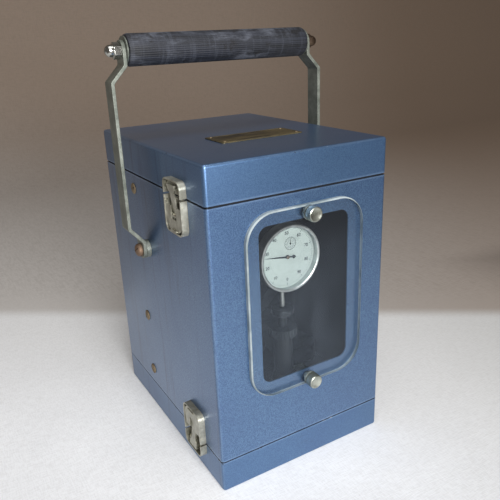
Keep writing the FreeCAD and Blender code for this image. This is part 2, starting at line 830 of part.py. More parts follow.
def build_counter_pointer():
    """Small pointer that counts the turns of the long one."""
    y1 = dial_front_y - 0.3
    y0 = y1 - 0.25
    x = counter_offset_x
    z = gauge_centre_z + counter_offset
    blade = [Vector(x + 0.25, y0, z), Vector(x, y0, z + counter_pointer_length), Vector(x - 0.25, y0, z),
             Vector(x, y0, z - 1.5), Vector(x + 0.25, y0, z)]
    blade = Part.Face(Part.makePolygon(blade)).extrude(Vector(0, 0.25, 0))
    hub = front_disc(0.8, y0, y1, x=x, z=z)
    arbor = front_disc(counter_arbor_radius, y1, gauge_case_front_y + 1.5, x=x, z=z)
    return join([blade, hub, arbor])


def build_gauge_spindle():
    """Plunger through the stem into the gauge's case."""
    top = gauge_centre_z + gauge_case_radius - spindle_top_room
    low = contact_bottom_z + contact_length
    return cylinder(spindle_radius, (0, gauge_axis_y, low), (0, gauge_axis_y, top))


def build_contact_point():
    """Tip on the spindle, tapered to a small flat."""
    top = contact_bottom_z + contact_length
    tip = cylinder(contact_radius, (0, gauge_axis_y, contact_bottom_z), (0, gauge_axis_y, top))
    rim = edges_at(tip, lambda b: b.ZMax < contact_bottom_z + 0.01)
    return tip.makeChamfer(contact_chamfer, rim)


# Handle

def bent_strip(points, thickness, width, centre_y):
    """Flat strip bent along a path in the XZ plane; the path is its inner face."""
    outer = []
    for i, (x, z) in enumerate(points):
        normals = []
        if i > 0:
            normals.append(left_normal(points[i - 1], points[i]))
        if i < len(points) - 1:
            normals.append(left_normal(points[i], points[i + 1]))
        nx = sum(n[0] for n in normals)
        nz = sum(n[1] for n in normals)
        length = math.hypot(nx, nz)
        cosine = (nx * normals[0][0] + nz * normals[0][1]) / length
        reach = thickness / cosine
        outer.append((x + nx / length * reach, z + nz / length * reach))
    outline = points + outer[::-1] + [points[0]]
    face = Part.Face(Part.makePolygon([Vector(x, centre_y - width / 2, z) for x, z in outline]))
    return face.extrude(Vector(0, width, 0))


def left_normal(a, b):
    dx = b[0] - a[0]
    dz = b[1] - a[1]
    length = math.hypot(dx, dz)
    return (-dz / length, dx / length)


def build_strap():
    """Left strap: joggled out past the case, and back in at the grip."""
    end = strap_width / 2
    points = [(-strap_low_in, pivot_z - end), (-strap_low_in, pivot_z + lower_bend_start),
              (-strap_run_in, pivot_z + lower_bend_end), (-strap_run_in, grip_z - upper_bend_end),
              (-strap_top_in, grip_z - upper_bend_start), (-strap_top_in, grip_z + end)]
    strap = bent_strip(points, strap_thickness, strap_width, pivot_y)
    bends = edges_along(strap, Y, lambda m: pivot_z + 2 < m.z < grip_z - 2)
    strap = strap.makeFillet(strap_bend_radius, bends)
    far = half_width + 40
    rounded = join([box((-far, pivot_y - end, pivot_z), (0, pivot_y + end, grip_z)),
                    cylinder(end, (-far, pivot_y, pivot_z), (0, pivot_y, pivot_z)),
                    cylinder(end, (-far, pivot_y, grip_z), (0, pivot_y, grip_z))])
    strap = strap.common(rounded)
    strap = strap.cut(cylinder(pivot_shank_radius + fit_gap, (-far, pivot_y, pivot_z), (0, pivot_y, pivot_z)))
    return strap.cut(cylinder(handle_rod_radius + fit_gap, (-far, pivot_y, grip_z), (0, pivot_y, grip_z)))


def build_handle_rod():
    """Through rod, threaded into the acorn nuts at both ends."""
    end = strap_top_in + strap_thickness + acorn_length - acorn_blind
    return cylinder(handle_rod_radius, (-end, pivot_y, grip_z), (end, pivot_y, grip_z))


def build_grip_washers():
    x0 = -strap_top_in + fit_gap
    x1 = x0 + end_washer_thickness
    washer = tube(end_washer_radius, handle_rod_radius + fit_gap, (x0, pivot_y, grip_z), (x1, pivot_y, grip_z))
    return both_sides(washer)


def build_acorn_nuts():
    """Domed nuts on the rod's ends."""
    x0 = -strap_top_in - strap_thickness
    hex_end = x0 - acorn_hex_length
    dome_x = x0 - acorn_length + acorn_dome_radius
    hexagon = hexagon_x(acorn_flats, hex_end, x0, pivot_y, grip_z)
    neck = cylinder(acorn_dome_radius, (dome_x, pivot_y, grip_z), (hex_end, pivot_y, grip_z))
    dome = Part.makeSphere(acorn_dome_radius, Vector(dome_x, pivot_y, grip_z))
    nut = join([hexagon, neck, dome])
    bore_end = x0 - acorn_length + acorn_blind - acorn_end_room
    nut = nut.cut(cylinder(handle_rod_radius + weld_gap, (bore_end, pivot_y, grip_z), (x0, pivot_y, grip_z)))
    return both_sides(nut)


def build_grip():
    """Turned grip, free to turn on the rod."""
    end = strap_top_in - fit_gap - end_washer_thickness - grip_end_gap
    grip = cylinder(grip_radius, (-end, pivot_y, grip_z), (end, pivot_y, grip_z))
    grip = grip.makeChamfer(grip_end_chamfer, edges_at(grip, lambda b: b.XLength < 0.01))
    return grip.cut(cylinder(grip_bore_radius, (-end, pivot_y, grip_z), (end, pivot_y, grip_z)))


def build_pivot_bolts():
    """Shouldered bolts that the straps turn on, with domed slotted heads."""
    head_x = -strap_low_in - strap_thickness - strap_gap
    shank = cylinder(pivot_shank_radius, (head_x, pivot_y, pivot_z), (-inner_half_width + pivot_nut_height + 1.5,
                                                                      pivot_y, pivot_z))
    head = cylinder(pivot_head_radius, (head_x - pivot_head_height, pivot_y, pivot_z), (head_x, pivot_y, pivot_z))
    rim = edges_at(head, lambda b: b.XMax < head_x - pivot_head_height + 0.01)
    head = head.makeChamfer(pivot_head_chamfer, rim)
    slot = box((head_x - pivot_head_height, pivot_y - pivot_head_radius, pivot_z - pivot_slot_width / 2),
               (head_x - pivot_head_height + pivot_slot_depth, pivot_y + pivot_head_radius,
                pivot_z + pivot_slot_width / 2))
    return both_sides(join([shank, head.cut(slot)]))


def build_pivot_washers():
    washer = tube(pivot_washer_radius, pivot_shank_radius + fit_gap,
                  (-half_width - pivot_washer_thickness, pivot_y, pivot_z), (-half_width, pivot_y, pivot_z))
    return both_sides(washer)


def build_pivot_nuts():
    nut = hexagon_x(pivot_nut_flats, -inner_half_width, -inner_half_width + pivot_nut_height, pivot_y, pivot_z)
    nut = nut.cut(cylinder(pivot_shank_radius + weld_gap, (-half_width, pivot_y, pivot_z), (0, pivot_y, pivot_z)))
    return both_sides(nut)


# Toggle latches. Each is drawn once in its own frame: X outward from the wall,
# Y along the wall, Z from the lever towards the keeper, 0 on the seam.

def placed(shape, side, seam_z, up):
    """Latch piece from its own frame onto a side wall and a seam."""
    if up < 0:
        shape = shape.mirror(Vector(0, 0, 0), Z)
    if side < 0:
        shape = shape.mirror(Vector(0, 0, 0), X)
    moved = shape.copy()
    moved.translate(Vector(side * half_width, latch_y, seam_z))
    return moved


latch_places = {
    "left_lid": (-1, lid_seam_z, 1),
    "right_lid": (1, lid_seam_z, 1),
    "left_base": (-1, base_height, -1),
    "right_base": (1, base_height, -1),
}
lever_half_width = latch_half_width - latch_flange - lever_side_gap
plate_seam_end = max(lid_seam_gap, base_seam_gap) / 2 + latch_seam_setback


def dish(z0, z1, round_at_top):
    """Pressed plate with a raised rim round three sides, open towards the seam."""
    far_z = z1 if round_at_top else z0

    def rounded(half_y, x1, inset, radius):
        low = z0 if round_at_top else z0 + inset
        high = z1 - inset if round_at_top else z1
        block = box((0, -half_y, low), (x1, half_y, high))
        return block.makeFillet(radius, edges_along(block, X, lambda m: abs(m.z - far_z) < inset + weld_gap))

    outer = rounded(latch_half_width, latch_flange_height, 0, latch_corner_radius)
    inner = rounded(latch_half_width - latch_flange, latch_flange_height, latch_flange,
                    latch_corner_radius - latch_flange)
    return outer.cut(inner.translated(Vector(latch_sheet, 0, 0)))


def build_keeper():
    """Catch on the lid or the base: a dish with a lip for the claw and two rivet heads."""
    keeper = dish(plate_seam_end, plate_seam_end + keeper_length, True)
    lip = box((0, -keeper_lip_half_width, keeper_lip_near),
              (keeper_lip_height, keeper_lip_half_width, keeper_lip_near + keeper_lip_thickness))
    heads = []
    for side in (-1, 1):
        y = side * keeper_rivet_across
        head = cylinder(keeper_rivet_radius, (latch_sheet, y, keeper_rivet_along),
                        (latch_sheet + keeper_rivet_height, y, keeper_rivet_along))
        rim = edges_at(head, lambda b: b.XMin > latch_sheet + keeper_rivet_height - weld_gap)
        heads.append(head.makeChamfer(keeper_rivet_chamfer, rim))
    return join([keeper, lip] + heads)


def build_latch_plate():
    """Dish on the body that carries the lever between its rims."""
    plate = dish(-plate_seam_end - latch_plate_length, -plate_seam_end, False)
    radius = latch_pivot_radius + latch_pin_clearance
    return plate.cut(cylinder(radius, (latch_pivot_out, -latch_half_width, -latch_pivot_along),
                              (latch_pivot_out, latch_half_width, -latch_pivot_along)))


def build_latch_pivots():
    """Two stub pins that the lever turns on, one through each flange."""
    inner = lever_half_width - lever_sheet - latch_pivot_grip
    outer = latch_half_width + latch_pivot_end
    z = -latch_pivot_along
    stubs = [cylinder(latch_pivot_radius, (latch_pivot_out, side * inner, z), (latch_pivot_out, side * outer, z))
             for side in (-1, 1)]
    return Part.makeCompound(stubs)


def build_latch_lever():
    """Pressed lever, hollow underneath, with ears on the pivots and a slot for the link."""
    ear_z = -latch_pivot_along
    far = -lever_end_along
    web_end = ear_z - lever_web_start
    inner_half = lever_half_width - lever_sheet
    block = box((lever_low, -lever_half_width, far), (lever_high, lever_half_width, ear_z + lever_ear_radius))
    corners = edges_along(block, X, lambda m: m.z < far + fit_gap)
    block = block.makeFillet(lever_nose_radius, corners)
    pocket = box((lever_low, -inner_half, far + lever_sheet), (lever_high - lever_sheet, inner_half, 0))
    corners = edges_along(pocket, X, lambda m: m.z < far + lever_sheet + fit_gap)
    pocket = pocket.makeFillet(lever_nose_radius - lever_sheet, corners)
    gap = box((0, -inner_half, web_end), (lever_high, inner_half, 0))
    slot = box((0, -lever_slot_half_width, -link_along - lever_slot_end), (lever_high, lever_slot_half_width, 0))
    lever = block.cut([pocket, gap, slot])
    keep = cylinder(lever_ear_radius, (latch_pivot_out, -lever_half_width, ear_z),
                    (latch_pivot_out, lever_half_width, ear_z))
    ears = box((0, -lever_half_width, ear_z), (lever_high + lever_sheet, lever_half_width, 0)).cut(keep)
    lip = box((lever_high - lever_sheet, -lever_lip_half_width, far),
              (lever_high + lever_lip_rise, lever_lip_half_width, far + lever_lip_thickness))
    holes = [cylinder(radius, (out, -lever_half_width, z), (out, lever_half_width, z)) for radius, out, z in (
        (latch_pivot_radius + weld_gap, latch_pivot_out, ear_z), (link_rod_radius + weld_gap, link_out, -link_along))]
    return join([lever.cut(ears), lip]).cut(holes)


def build_latch_link():
    """Link: a cross rod in the lever, a strip over the seam and a wider claw on its head."""
    lean = math.tan(math.radians(link_tilt))
    half = link_sheet / 2 / math.cos(math.radians(link_tilt))
    claw_in = keeper_lip_near + keeper_lip_thickness + claw_gap
    claw_out = claw_in + claw_thickness
    tip = keeper_lip_height - claw_bite
    foot = -link_along

    def middle(z):
        return link_out + (z - foot) * lean

    outline = [(middle(foot) - half, foot), (middle(claw_in) - half, claw_in),
               (tip, claw_in), (tip, claw_out), (middle(claw_out) + half, claw_out),
               (middle(foot) + half, foot)]
    points = [Vector(u, -link_head_half_width, z) for u, z in outline]
    strip = Part.Face(Part.makePolygon(points + [points[0]])).extrude(Vector(0, 2 * link_head_half_width, 0))
    plan = [(-link_half_width, foot), (-link_half_width, link_head_start),
            (-link_head_half_width, link_head_start + link_head_slope), (-link_head_half_width, claw_out),
            (link_head_half_width, claw_out), (link_head_half_width, link_head_start + link_head_slope),
            (link_half_width, link_head_start), (link_half_width, foot)]
    points = [Vector(0, y, z) for y, z in plan]
    reach = middle(claw_out) + link_sheet
    strip = strip.common(Part.Face(Part.makePolygon(points + [points[0]])).extrude(Vector(reach, 0, 0)))
    eye_radius = link_rod_radius + link_eye_wall
    eye = cylinder(eye_radius, (link_out, -link_half_width, foot), (link_out, link_half_width, foot))
    eye = eye.cut(box((0, -link_half_width, foot - eye_radius),
                      (link_out - link_rod_radius, link_half_width, foot + eye_radius)))
    rod = cylinder(link_rod_radius, (link_out, -lever_half_width + fit_gap, foot),
                   (link_out, lever_half_width - fit_gap, foot))
    return join([strip, eye, rod])


def placed_everywhere(shape):
    return Part.makeCompound([placed(shape, *place) for place in latch_places.values()])


def placed_at(shape, seam):
    places = [place for place in latch_places.values() if place[1] == seam]
    return Part.makeCompound([placed(shape, *place) for place in places])


def build_all():
    """Every piece, by node name."""
    keeper = build_keeper()
    strap = build_strap()
    nodes = {
        "base_tray": build_base_tray(),
        "base_pad": build_base_pad(),
        "base_latch_keepers": placed_at(keeper, base_height),
        "case_shell": build_case_shell(),
        "upper_locating_frame": build_locating_frame(lid_seam_z, 1),
        "lower_locating_frame": build_locating_frame(base_height, -1),
        "side_rails": build_side_rails(),
        "side_rail_screws": build_side_rail_screws(),
        "lower_platen": build_lower_platen(),
        "lower_load_button": build_lower_load_button(),
        "load_ring": build_load_ring(),
        "upper_platen": build_upper_platen(),
        "button_retainer": build_button_retainer(),
        "upper_load_button": build_upper_load_button(),
        "gauge_bracket": build_gauge_bracket(),
        "anvil_arm": build_anvil_arm(),
        "arm_screws": build_arm_screws(),
        "anvil_screw": build_anvil_screw(),
        "anvil_lock_nut": build_anvil_lock_nut(),
        "gauge_case": build_gauge_case(),
        "gauge_back": build_gauge_back(),
        "gauge_lug_screw": build_gauge_lug_screw(),
        "gauge_bezel": build_gauge_bezel(),
        "gauge_crystal": build_gauge_crystal(),
        "gauge_dial": build_gauge_dial(),
        "sub_dial": build_sub_dial(),
        "gauge_pointer": build_gauge_pointer(),
        "counter_pointer": build_counter_pointer(),
        "gauge_spindle": build_gauge_spindle(),
        "contact_point": build_contact_point(),
        "window_cover": build_window_cover(),
        "upper_thumb_screw": build_thumb_screw(1),
        "lower_thumb_screw": build_thumb_screw(-1),
        "thumb_screw_bushes": build_thumb_screw_bushes(),
        "lid_shell": build_lid_shell(),
        "name_plate": build_name_plate(),
        "lid_latch_keepers": placed_at(keeper, lid_seam_z),
        "latch_plates": placed_everywhere(build_latch_plate()),
        "latch_pivots": placed_everywhere(build_latch_pivots()),
        "handle_pivot_bolts": build_pivot_bolts(),
        "handle_pivot_washers": build_pivot_washers(),
        "handle_pivot_nuts": build_pivot_nuts(),
        "left_strap": strap,
        "right_strap": mirror_x(strap),
        "handle_rod": build_handle_rod(),
        "grip_washers": build_grip_washers(),
        "acorn_nuts": build_acorn_nuts(),
        "handle_grip": build_grip(),
    }
    lever = build_latch_lever()
    link = build_latch_link()
    for name, place in latch_places.items():
        nodes[name + "_lever"] = placed(lever, *place)
        nodes[name + "_link"] = placed(link, *place)
    return nodes


os.makedirs("parts", exist_ok=True)
for node, shape in build_all().items():
    shape.exportStep("parts/" + node + ".step")
    print(node, "solids", len(shape.Solids), "valid", shape.isValid(), "volume", round(shape.Volume, 1))
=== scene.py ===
import json
import math

import bmesh
import bpy
from mathutils import Matrix, Vector


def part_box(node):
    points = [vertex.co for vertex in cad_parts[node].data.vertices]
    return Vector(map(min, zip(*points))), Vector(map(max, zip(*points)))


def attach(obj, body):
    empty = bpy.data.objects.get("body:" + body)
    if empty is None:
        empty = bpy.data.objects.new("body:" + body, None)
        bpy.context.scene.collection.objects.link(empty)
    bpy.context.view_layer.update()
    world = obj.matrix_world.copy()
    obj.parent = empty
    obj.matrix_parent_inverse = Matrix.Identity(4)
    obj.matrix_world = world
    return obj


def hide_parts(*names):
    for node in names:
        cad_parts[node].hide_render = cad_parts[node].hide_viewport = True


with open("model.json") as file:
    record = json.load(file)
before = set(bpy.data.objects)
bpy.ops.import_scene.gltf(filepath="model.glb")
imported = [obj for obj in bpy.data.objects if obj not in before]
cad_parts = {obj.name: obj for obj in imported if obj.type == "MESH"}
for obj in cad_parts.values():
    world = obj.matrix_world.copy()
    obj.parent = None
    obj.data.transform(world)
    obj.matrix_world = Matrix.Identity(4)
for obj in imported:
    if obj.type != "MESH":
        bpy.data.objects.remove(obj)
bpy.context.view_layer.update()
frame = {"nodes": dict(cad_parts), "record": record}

# The looks of a boxed load-measuring device: hammer-finish paint, plated
# latches and straps, a clear window cover and the dial gauge behind it.
# Metres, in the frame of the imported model: X right, Y back, Z up.

MM = 0.001
NODES = frame["nodes"]
BODY_OF = {node: body for body, nodes in frame["record"]["behaviour"]["bodies"].items() for node in nodes}
SLOT_OF = {row["node"]: row["material_slot"] for row in frame["record"]["subparts"]}
CORNERS = ("left_lid", "right_lid", "left_base", "right_base")

# Camera, from a fit to the case's corners in the photograph
CAMERA_PLACE = Vector((-0.2463, -0.4533, 0.3536))
CAMERA_TARGET = Vector((0.0140, 0.0, 0.1602))
CAMERA_ROLL = math.radians(-2.43)
CAMERA_LENS = 41.695
SENSOR_WIDTH = 36.0
CLIP_NEAR = 0.01
CLIP_FAR = 50

# Painted fold, where painted shade makes the flat pale cloth look as if it turned up behind the object:
# normal and distance
FOLD_NORMAL = (0.577, 0.817)
FOLD_DISTANCE = 0.196
STAGE_GLOW = 0.3


def colour(red, green, blue):
    """Linear colour from the 0 to 255 values seen in a picture."""
    channels = []
    for value in (red, green, blue):
        share = value / 255
        channels.append(share / 12.92 if share <= 0.04045 else ((share + 0.055) / 1.055) ** 2.4)
    return (*channels, 1.0)


# Materials

PAINT_DARK = colour(62, 90, 131)
PAINT_PALE = colour(97, 132, 168)
PAINT_FADED = colour(68, 92, 134)
PAINT_RUBBED_AND_HIGHLIGHT = colour(128, 158, 196)
RUN_STAINS = colour(50, 62, 86)
SOIL = colour(60, 66, 84)
SPECKS = colour(28, 36, 60)
HAIR_SCRATCHES = colour(112, 116, 130)
# Painted shade along the seam between the shells
SEAM_SHADE = colour(26, 32, 48)
NICKS = colour(34, 34, 44)
# Pale edge band: part rubbed paint, part painted highlight
CHIPS = colour(176, 182, 184)
# Painted shade for the inner faces of the case
INSIDE_SHADE_DARK = colour(10, 13, 19)
INSIDE_SHADE_PALE = colour(15, 19, 27)
DIAL_PALE = colour(202, 207, 201)
DIAL_DULL = colour(182, 188, 182)
FOXING = colour(150, 148, 134)
PANE_SHEEN = colour(214, 229, 250)
PANE_TINT = (0.95, 0.965, 0.965, 1.0)
GRIP_DARK = colour(18, 20, 26)
GRIP_GREY = colour(36, 39, 48)
GRIP_BANDS = colour(68, 72, 82)
GRIP_RUBBED = colour(90, 94, 104)
GRIP_GRIME = colour(16, 16, 20)


class Graph:
    """Node graph of one material, built by calls that each return a socket."""

    def __init__(self, name):
        self.material = bpy.data.materials.new(name)
        self.material.use_nodes = True
        self.nodes = self.material.node_tree.nodes
        self.links = self.material.node_tree.links
        self.shader = self.nodes["Principled BSDF"]
        self.place = self.nodes.new("ShaderNodeTexCoord").outputs["Object"]

    def feed(self, socket, value):
        if isinstance(value, bpy.types.NodeSocket):
            self.links.new(value, socket)
        else:
            socket.default_value = value

    def set(self, **values):
        """Sets the shader's sockets; an underscore stands for a space in a name."""
        for name, value in values.items():
            self.feed(self.shader.inputs[name.replace("_", " ")], value)
        return self.material

    def math(self, operation, a, b=0.0, clamp=False):
        node = self.nodes.new("ShaderNodeMath")
        node.operation = operation
        node.use_clamp = clamp
        self.feed(node.inputs[0], a)
        self.feed(node.inputs[1], b)
        return node.outputs[0]

    def split(self):
        node = self.nodes.new("ShaderNodeSeparateXYZ")
        self.links.new(self.place, node.inputs[0])
        return node.outputs

    def stretched(self, scale, shift=(0, 0, 0)):
        node = self.nodes.new("ShaderNodeMapping")
        self.links.new(self.place, node.inputs["Vector"])
        node.inputs["Scale"].default_value = scale
        node.inputs["Location"].default_value = shift
        return node.outputs[0]

    def noise(self, scale, detail=3.0, roughness=0.5, at=None):
        node = self.nodes.new("ShaderNodeTexNoise")
        self.links.new(at or self.place, node.inputs["Vector"])
        node.inputs["Scale"].default_value = scale
        node.inputs["Detail"].default_value = detail
        node.inputs["Roughness"].default_value = roughness
        return node.outputs["Fac"]

    def cells(self, scale, at=None):
        """Distance to the nearest of scattered points, in cell widths."""
        node = self.nodes.new("ShaderNodeTexVoronoi")
        self.links.new(at or self.place, node.inputs["Vector"])
        node.inputs["Scale"].default_value = scale
        return node.outputs["Distance"]

    def level(self, value, low, high, to_low=0.0, to_high=1.0):
        """Smooth step from to_low to to_high as value goes from low to high."""
        node = self.nodes.new("ShaderNodeMapRange")
        node.interpolation_type = "SMOOTHSTEP"
        self.feed(node.inputs["Value"], value)
        node.inputs["From Min"].default_value = low
        node.inputs["From Max"].default_value = high
        node.inputs["To Min"].default_value = to_low
        node.inputs["To Max"].default_value = to_high
        return node.outputs[0]

    def blend(self, share, a, b):
        node = self.nodes.new("ShaderNodeMix")
        node.data_type = "RGBA"
        self.feed(node.inputs[0], share)
        self.feed(node.inputs[6], a)
        self.feed(node.inputs[7], b)
        return node.outputs[2]

    def bump(self, height, depth):
        node = self.nodes.new("ShaderNodeBump")
        node.inputs["Distance"].default_value = depth
        self.feed(node.inputs["Height"], height)
        return node.outputs[0]


def shell_distances(g, node, open_side):
    """Distances on a case shell, in metres: from its sides, its edges and its seam, and into its wall."""
    low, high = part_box(node)
    x, y, z = g.split()
    from_side = g.math("SUBTRACT", high.x, g.math("ABSOLUTE", x))
    from_front = g.math("SUBTRACT", high.y, g.math("ABSOLUTE", y))
    from_top = g.math("SUBTRACT", high.z, z)
    from_bottom = g.math("SUBTRACT", z, low.z)
    from_end = g.math("MINIMUM", from_top, from_bottom)
    nearest = g.math("MINIMUM", from_side, from_front)
    other = g.math("MAXIMUM", from_side, from_front)
    from_edge = g.math("MAXIMUM", nearest, g.math("MINIMUM", other, from_end))
    from_seam = {"bottom": from_bottom, "top": from_top}.get(open_side, from_end)
    within = nearest
    if open_side == "bottom":
        within = g.math("MINIMUM", nearest, from_top)
    if open_side == "top":
        within = g.math("MINIMUM", nearest, from_bottom)
    return from_side, from_edge, from_seam, within


def flaked(g, grain, mottle, patch, peel):
    """Blue paint with dark and pale flakes, smooth at a peel of 0 and hammered at 1."""
    contrast = 0.25 + 0.6 * peel
    spread = g.level(grain, 0.32, 0.68, 0.5 - contrast / 2, 0.5 + contrast / 2)
    body = g.blend(spread, PAINT_DARK, PAINT_PALE)
    body = g.blend(g.level(mottle, 0.35, 0.7, 0.0, 0.25 * peel), body, PAINT_DARK)
    return g.blend(g.level(patch, 0.4, 0.7, 0.0, 0.3), body, PAINT_FADED)


def soiled(g, body, from_side):
    """Runs down the side walls, then soil, dark specks and hair scratches everywhere."""
    runs = g.noise(1.0, 3.0, 0.6, g.stretched((110, 110, 7)))
    on_side = g.level(from_side, 0.5 * MM, 1.0 * MM, 1.0, 0.0)
    body = g.blend(g.math("MULTIPLY", g.level(runs, 0.52, 0.75, 0.0, 0.4), on_side), body, RUN_STAINS)
    soil = g.level(g.noise(30, 5.0, 0.7), 0.62, 0.8, 0.0, 0.25)
    body = g.blend(soil, body, SOIL)
    scatter = g.math("ADD", g.cells(60), g.math("MULTIPLY", g.noise(17), 0.16))
    specks = g.level(scatter, 0.085, 0.105, 1.0, 0.0)
    body = g.blend(g.math("MULTIPLY", specks, 0.75), body, SPECKS)
    hairs = g.noise(1.0, 2.0, 0.5, g.stretched((620, 9, 620), (3.1, 0.7, 1.9)))
    hairs = g.math("MULTIPLY", g.level(hairs, 0.71, 0.76, 0.0, 0.5), g.level(g.noise(13), 0.5, 0.62))
    return g.blend(hairs, body, HAIR_SCRATCHES)


def edge_wear(g, from_edge):
    """Shares of paint chipped to the metal, nicked dark, and a pale band that is part rubbed paint and part
    painted highlight, all near the edges.
    """
    ragged = g.noise(420, 4.0, 0.65)
    wear = g.math("SUBTRACT", ragged, g.math("MULTIPLY", from_edge, 110.0))
    chips = g.math("MULTIPLY", g.level(wear, 0.49, 0.53), g.level(g.noise(23, 2.0), 0.63, 0.68))
    nicks = g.math("MULTIPLY", g.level(wear, 0.46, 0.5), g.level(g.noise(41, 2.0), 0.58, 0.63))
    near = g.level(from_edge, 0.4 * MM, 2.2 * MM, 0.55, 0.0)
    rub_and_highlight = g.math("MULTIPLY", near, g.level(g.noise(48, 3.0), 0.3, 0.6, 0.35, 1.0))
    return chips, nicks, rub_and_highlight


def paint(name, node, open_side, peel):
    """Metallic hammer-finish paint on one case shell, with chips along its edges; its inside is painted near
    black as shade, its seam rims get painted shade, and a pale edge band is part rubbed paint, part painted
    highlight.
    """
    g = Graph(name)
    from_side, from_edge, from_seam, within = shell_distances(g, node, open_side)
    grain = g.noise(1150, 2.0)
    mottle = g.noise(560, 2.0)
    patch = g.noise(9, 4.0, 0.6)
    body = soiled(g, flaked(g, grain, mottle, patch, peel), from_side)

    chips, nicks, rub_and_highlight = edge_wear(g, from_edge)
    # Pale band near the edges, part rubbed paint and part painted highlight
    body = g.blend(rub_and_highlight, body, PAINT_RUBBED_AND_HIGHLIGHT)
    # Painted shade: the rims at the seam are darkened where the gap between the shells lies
    if open_side != "bottom":
        body = g.blend(g.level(from_seam, 0.2 * MM, 0.5 * MM, 0.8, 0.0), body, SEAM_SHADE)
    body = g.blend(g.math("MULTIPLY", nicks, 0.85), body, NICKS)
    body = g.blend(g.math("MULTIPLY", chips, 0.85), body, CHIPS)

    # Painted shade: the inner faces are coloured near black to stand for the shade inside the closed case
    inside = g.level(within, 0.9 * MM, 1.2 * MM)
    inside_shade = g.blend(g.level(mottle, 0.3, 0.7), INSIDE_SHADE_DARK, INSIDE_SHADE_PALE)
    body = g.blend(inside, body, inside_shade)

    uncoated = g.math("MAXIMUM", chips, inside)
    rough = g.math("ADD", g.level(patch, 0.3, 0.7, 0.38, 0.44), g.math("MULTIPLY", uncoated, 0.25))
    relief = g.math("ADD", g.math("MULTIPLY", grain, peel * 0.5), g.math("MULTIPLY", mottle, peel))
    relief = g.math("SUBTRACT", relief, g.math("MULTIPLY", g.math("MAXIMUM", chips, nicks), 0.6))
    relief = g.math("MULTIPLY", relief, g.math("SUBTRACT", 1.0, inside))
    metal = g.math("MULTIPLY", g.math("SUBTRACT", 1.0, uncoated), 0.8)
    g.set(Base_Color=body, Roughness=rough, Metallic=metal, Normal=g.bump(relief, 0.12 * MM))
    return g.set(Coat_Weight=0.2 + 0.3 * peel, Coat_Roughness=0.24, Coat_IOR=1.8)


def plated(name, pale, dark, stain, rough=(0.28, 0.5), stains=0.45, metallic=0.95):
    """Plated or bare metal with tarnish in patches and a fine grain."""
    g = Graph(name)
    cloud = g.noise(90, 5.0, 0.65)
    fine = g.noise(500, 3.0)
    spots = g.noise(260, 4.0, 0.7)
    shade = g.blend(g.level(cloud, 0.32, 0.68), dark, pale)
    shade = g.blend(g.level(fine, 0.3, 0.75, 0.0, 0.35), shade, dark)
    tarnish = g.level(spots, 1.0 - stains, 1.12 - stains)
    shade = g.blend(g.math("MULTIPLY", tarnish, 0.7), shade, stain)
    roughness = g.math("ADD", g.level(cloud, 0.3, 0.7, *rough), g.math("MULTIPLY", tarnish, 0.15))
    metal = g.level(tarnish, 0.0, 1.0, metallic, metallic * 0.55)
    relief = g.math("SUBTRACT", g.math("MULTIPLY", fine, 0.4), g.math("MULTIPLY", tarnish, 0.5))
    return g.set(Base_Color=shade, Roughness=roughness, Metallic=metal, Normal=g.bump(relief, 0.08 * MM))


def machined(name, pale, dark):
    """Ground or turned steel with fine scratches."""
    g = Graph(name)
    lines = g.noise(1.0, 4.0, 0.7, g.stretched((60, 900, 900)))
    cloud = g.noise(45, 4.0)
    shade = g.blend(g.level(cloud, 0.3, 0.7), dark, pale)
    shade = g.blend(g.level(lines, 0.4, 0.7, 0.0, 0.4), shade, dark)
    roughness = g.level(lines, 0.3, 0.7, 0.25, 0.42)
    return g.set(Base_Color=shade, Roughness=roughness, Metallic=0.9, Normal=g.bump(lines, 0.03 * MM))


def satin(name, pale, dark, rough, scale, metallic=0.0):
    """Plain coated surface: slight colour variation and a fine tooth."""
    g = Graph(name)
    cloud = g.noise(60, 4.0)
    tooth = g.noise(scale, 3.0)
    shade = g.blend(g.level(cloud, 0.3, 0.7), dark, pale)
    roughness = g.level(tooth, 0.3, 0.7, rough - 0.08, rough + 0.08)
    relief = g.bump(tooth, 0.05 * MM)
    return g.set(Base_Color=shade, Roughness=roughness, Metallic=metallic, Normal=relief)


def see_through(name, haze, rough):
    """Clear pane: what is behind shows through, under a faint reflection, smears and hair scratches."""
    g = Graph(name)
    smear = g.noise(1.0, 4.0, 0.6, g.stretched((30, 30, 12)))
    scratches = g.noise(1.0, 3.0, 0.6, g.stretched((700, 700, 14)))
    scratches = g.level(scratches, 0.68, 0.76, 0.0, haze * 1.5)
    film = g.math("ADD", g.level(smear, 0.4, 0.8, 0.0, haze), scratches)
    facing = g.nodes.new("ShaderNodeLayerWeight").outputs["Facing"]
    sheen = g.math("ADD", g.math("MULTIPLY", g.math("POWER", facing, 5.0), 0.9), 0.04)
    share = g.math("ADD", sheen, film, clamp=True)
    g.set(Base_Color=PANE_SHEEN, Metallic=0.85, Roughness=g.level(smear, 0.3, 0.8, rough, rough * 2))
    clear = g.nodes.new("ShaderNodeBsdfTransparent")
    clear.inputs["Color"].default_value = PANE_TINT
    pane = g.nodes.new("ShaderNodeMixShader")
    g.feed(pane.inputs[0], share)
    g.links.new(clear.outputs[0], pane.inputs[1])
    g.links.new(g.shader.outputs[0], pane.inputs[2])
    g.links.new(pane.outputs[0], g.nodes["Material Output"].inputs["Surface"])
    return g.material


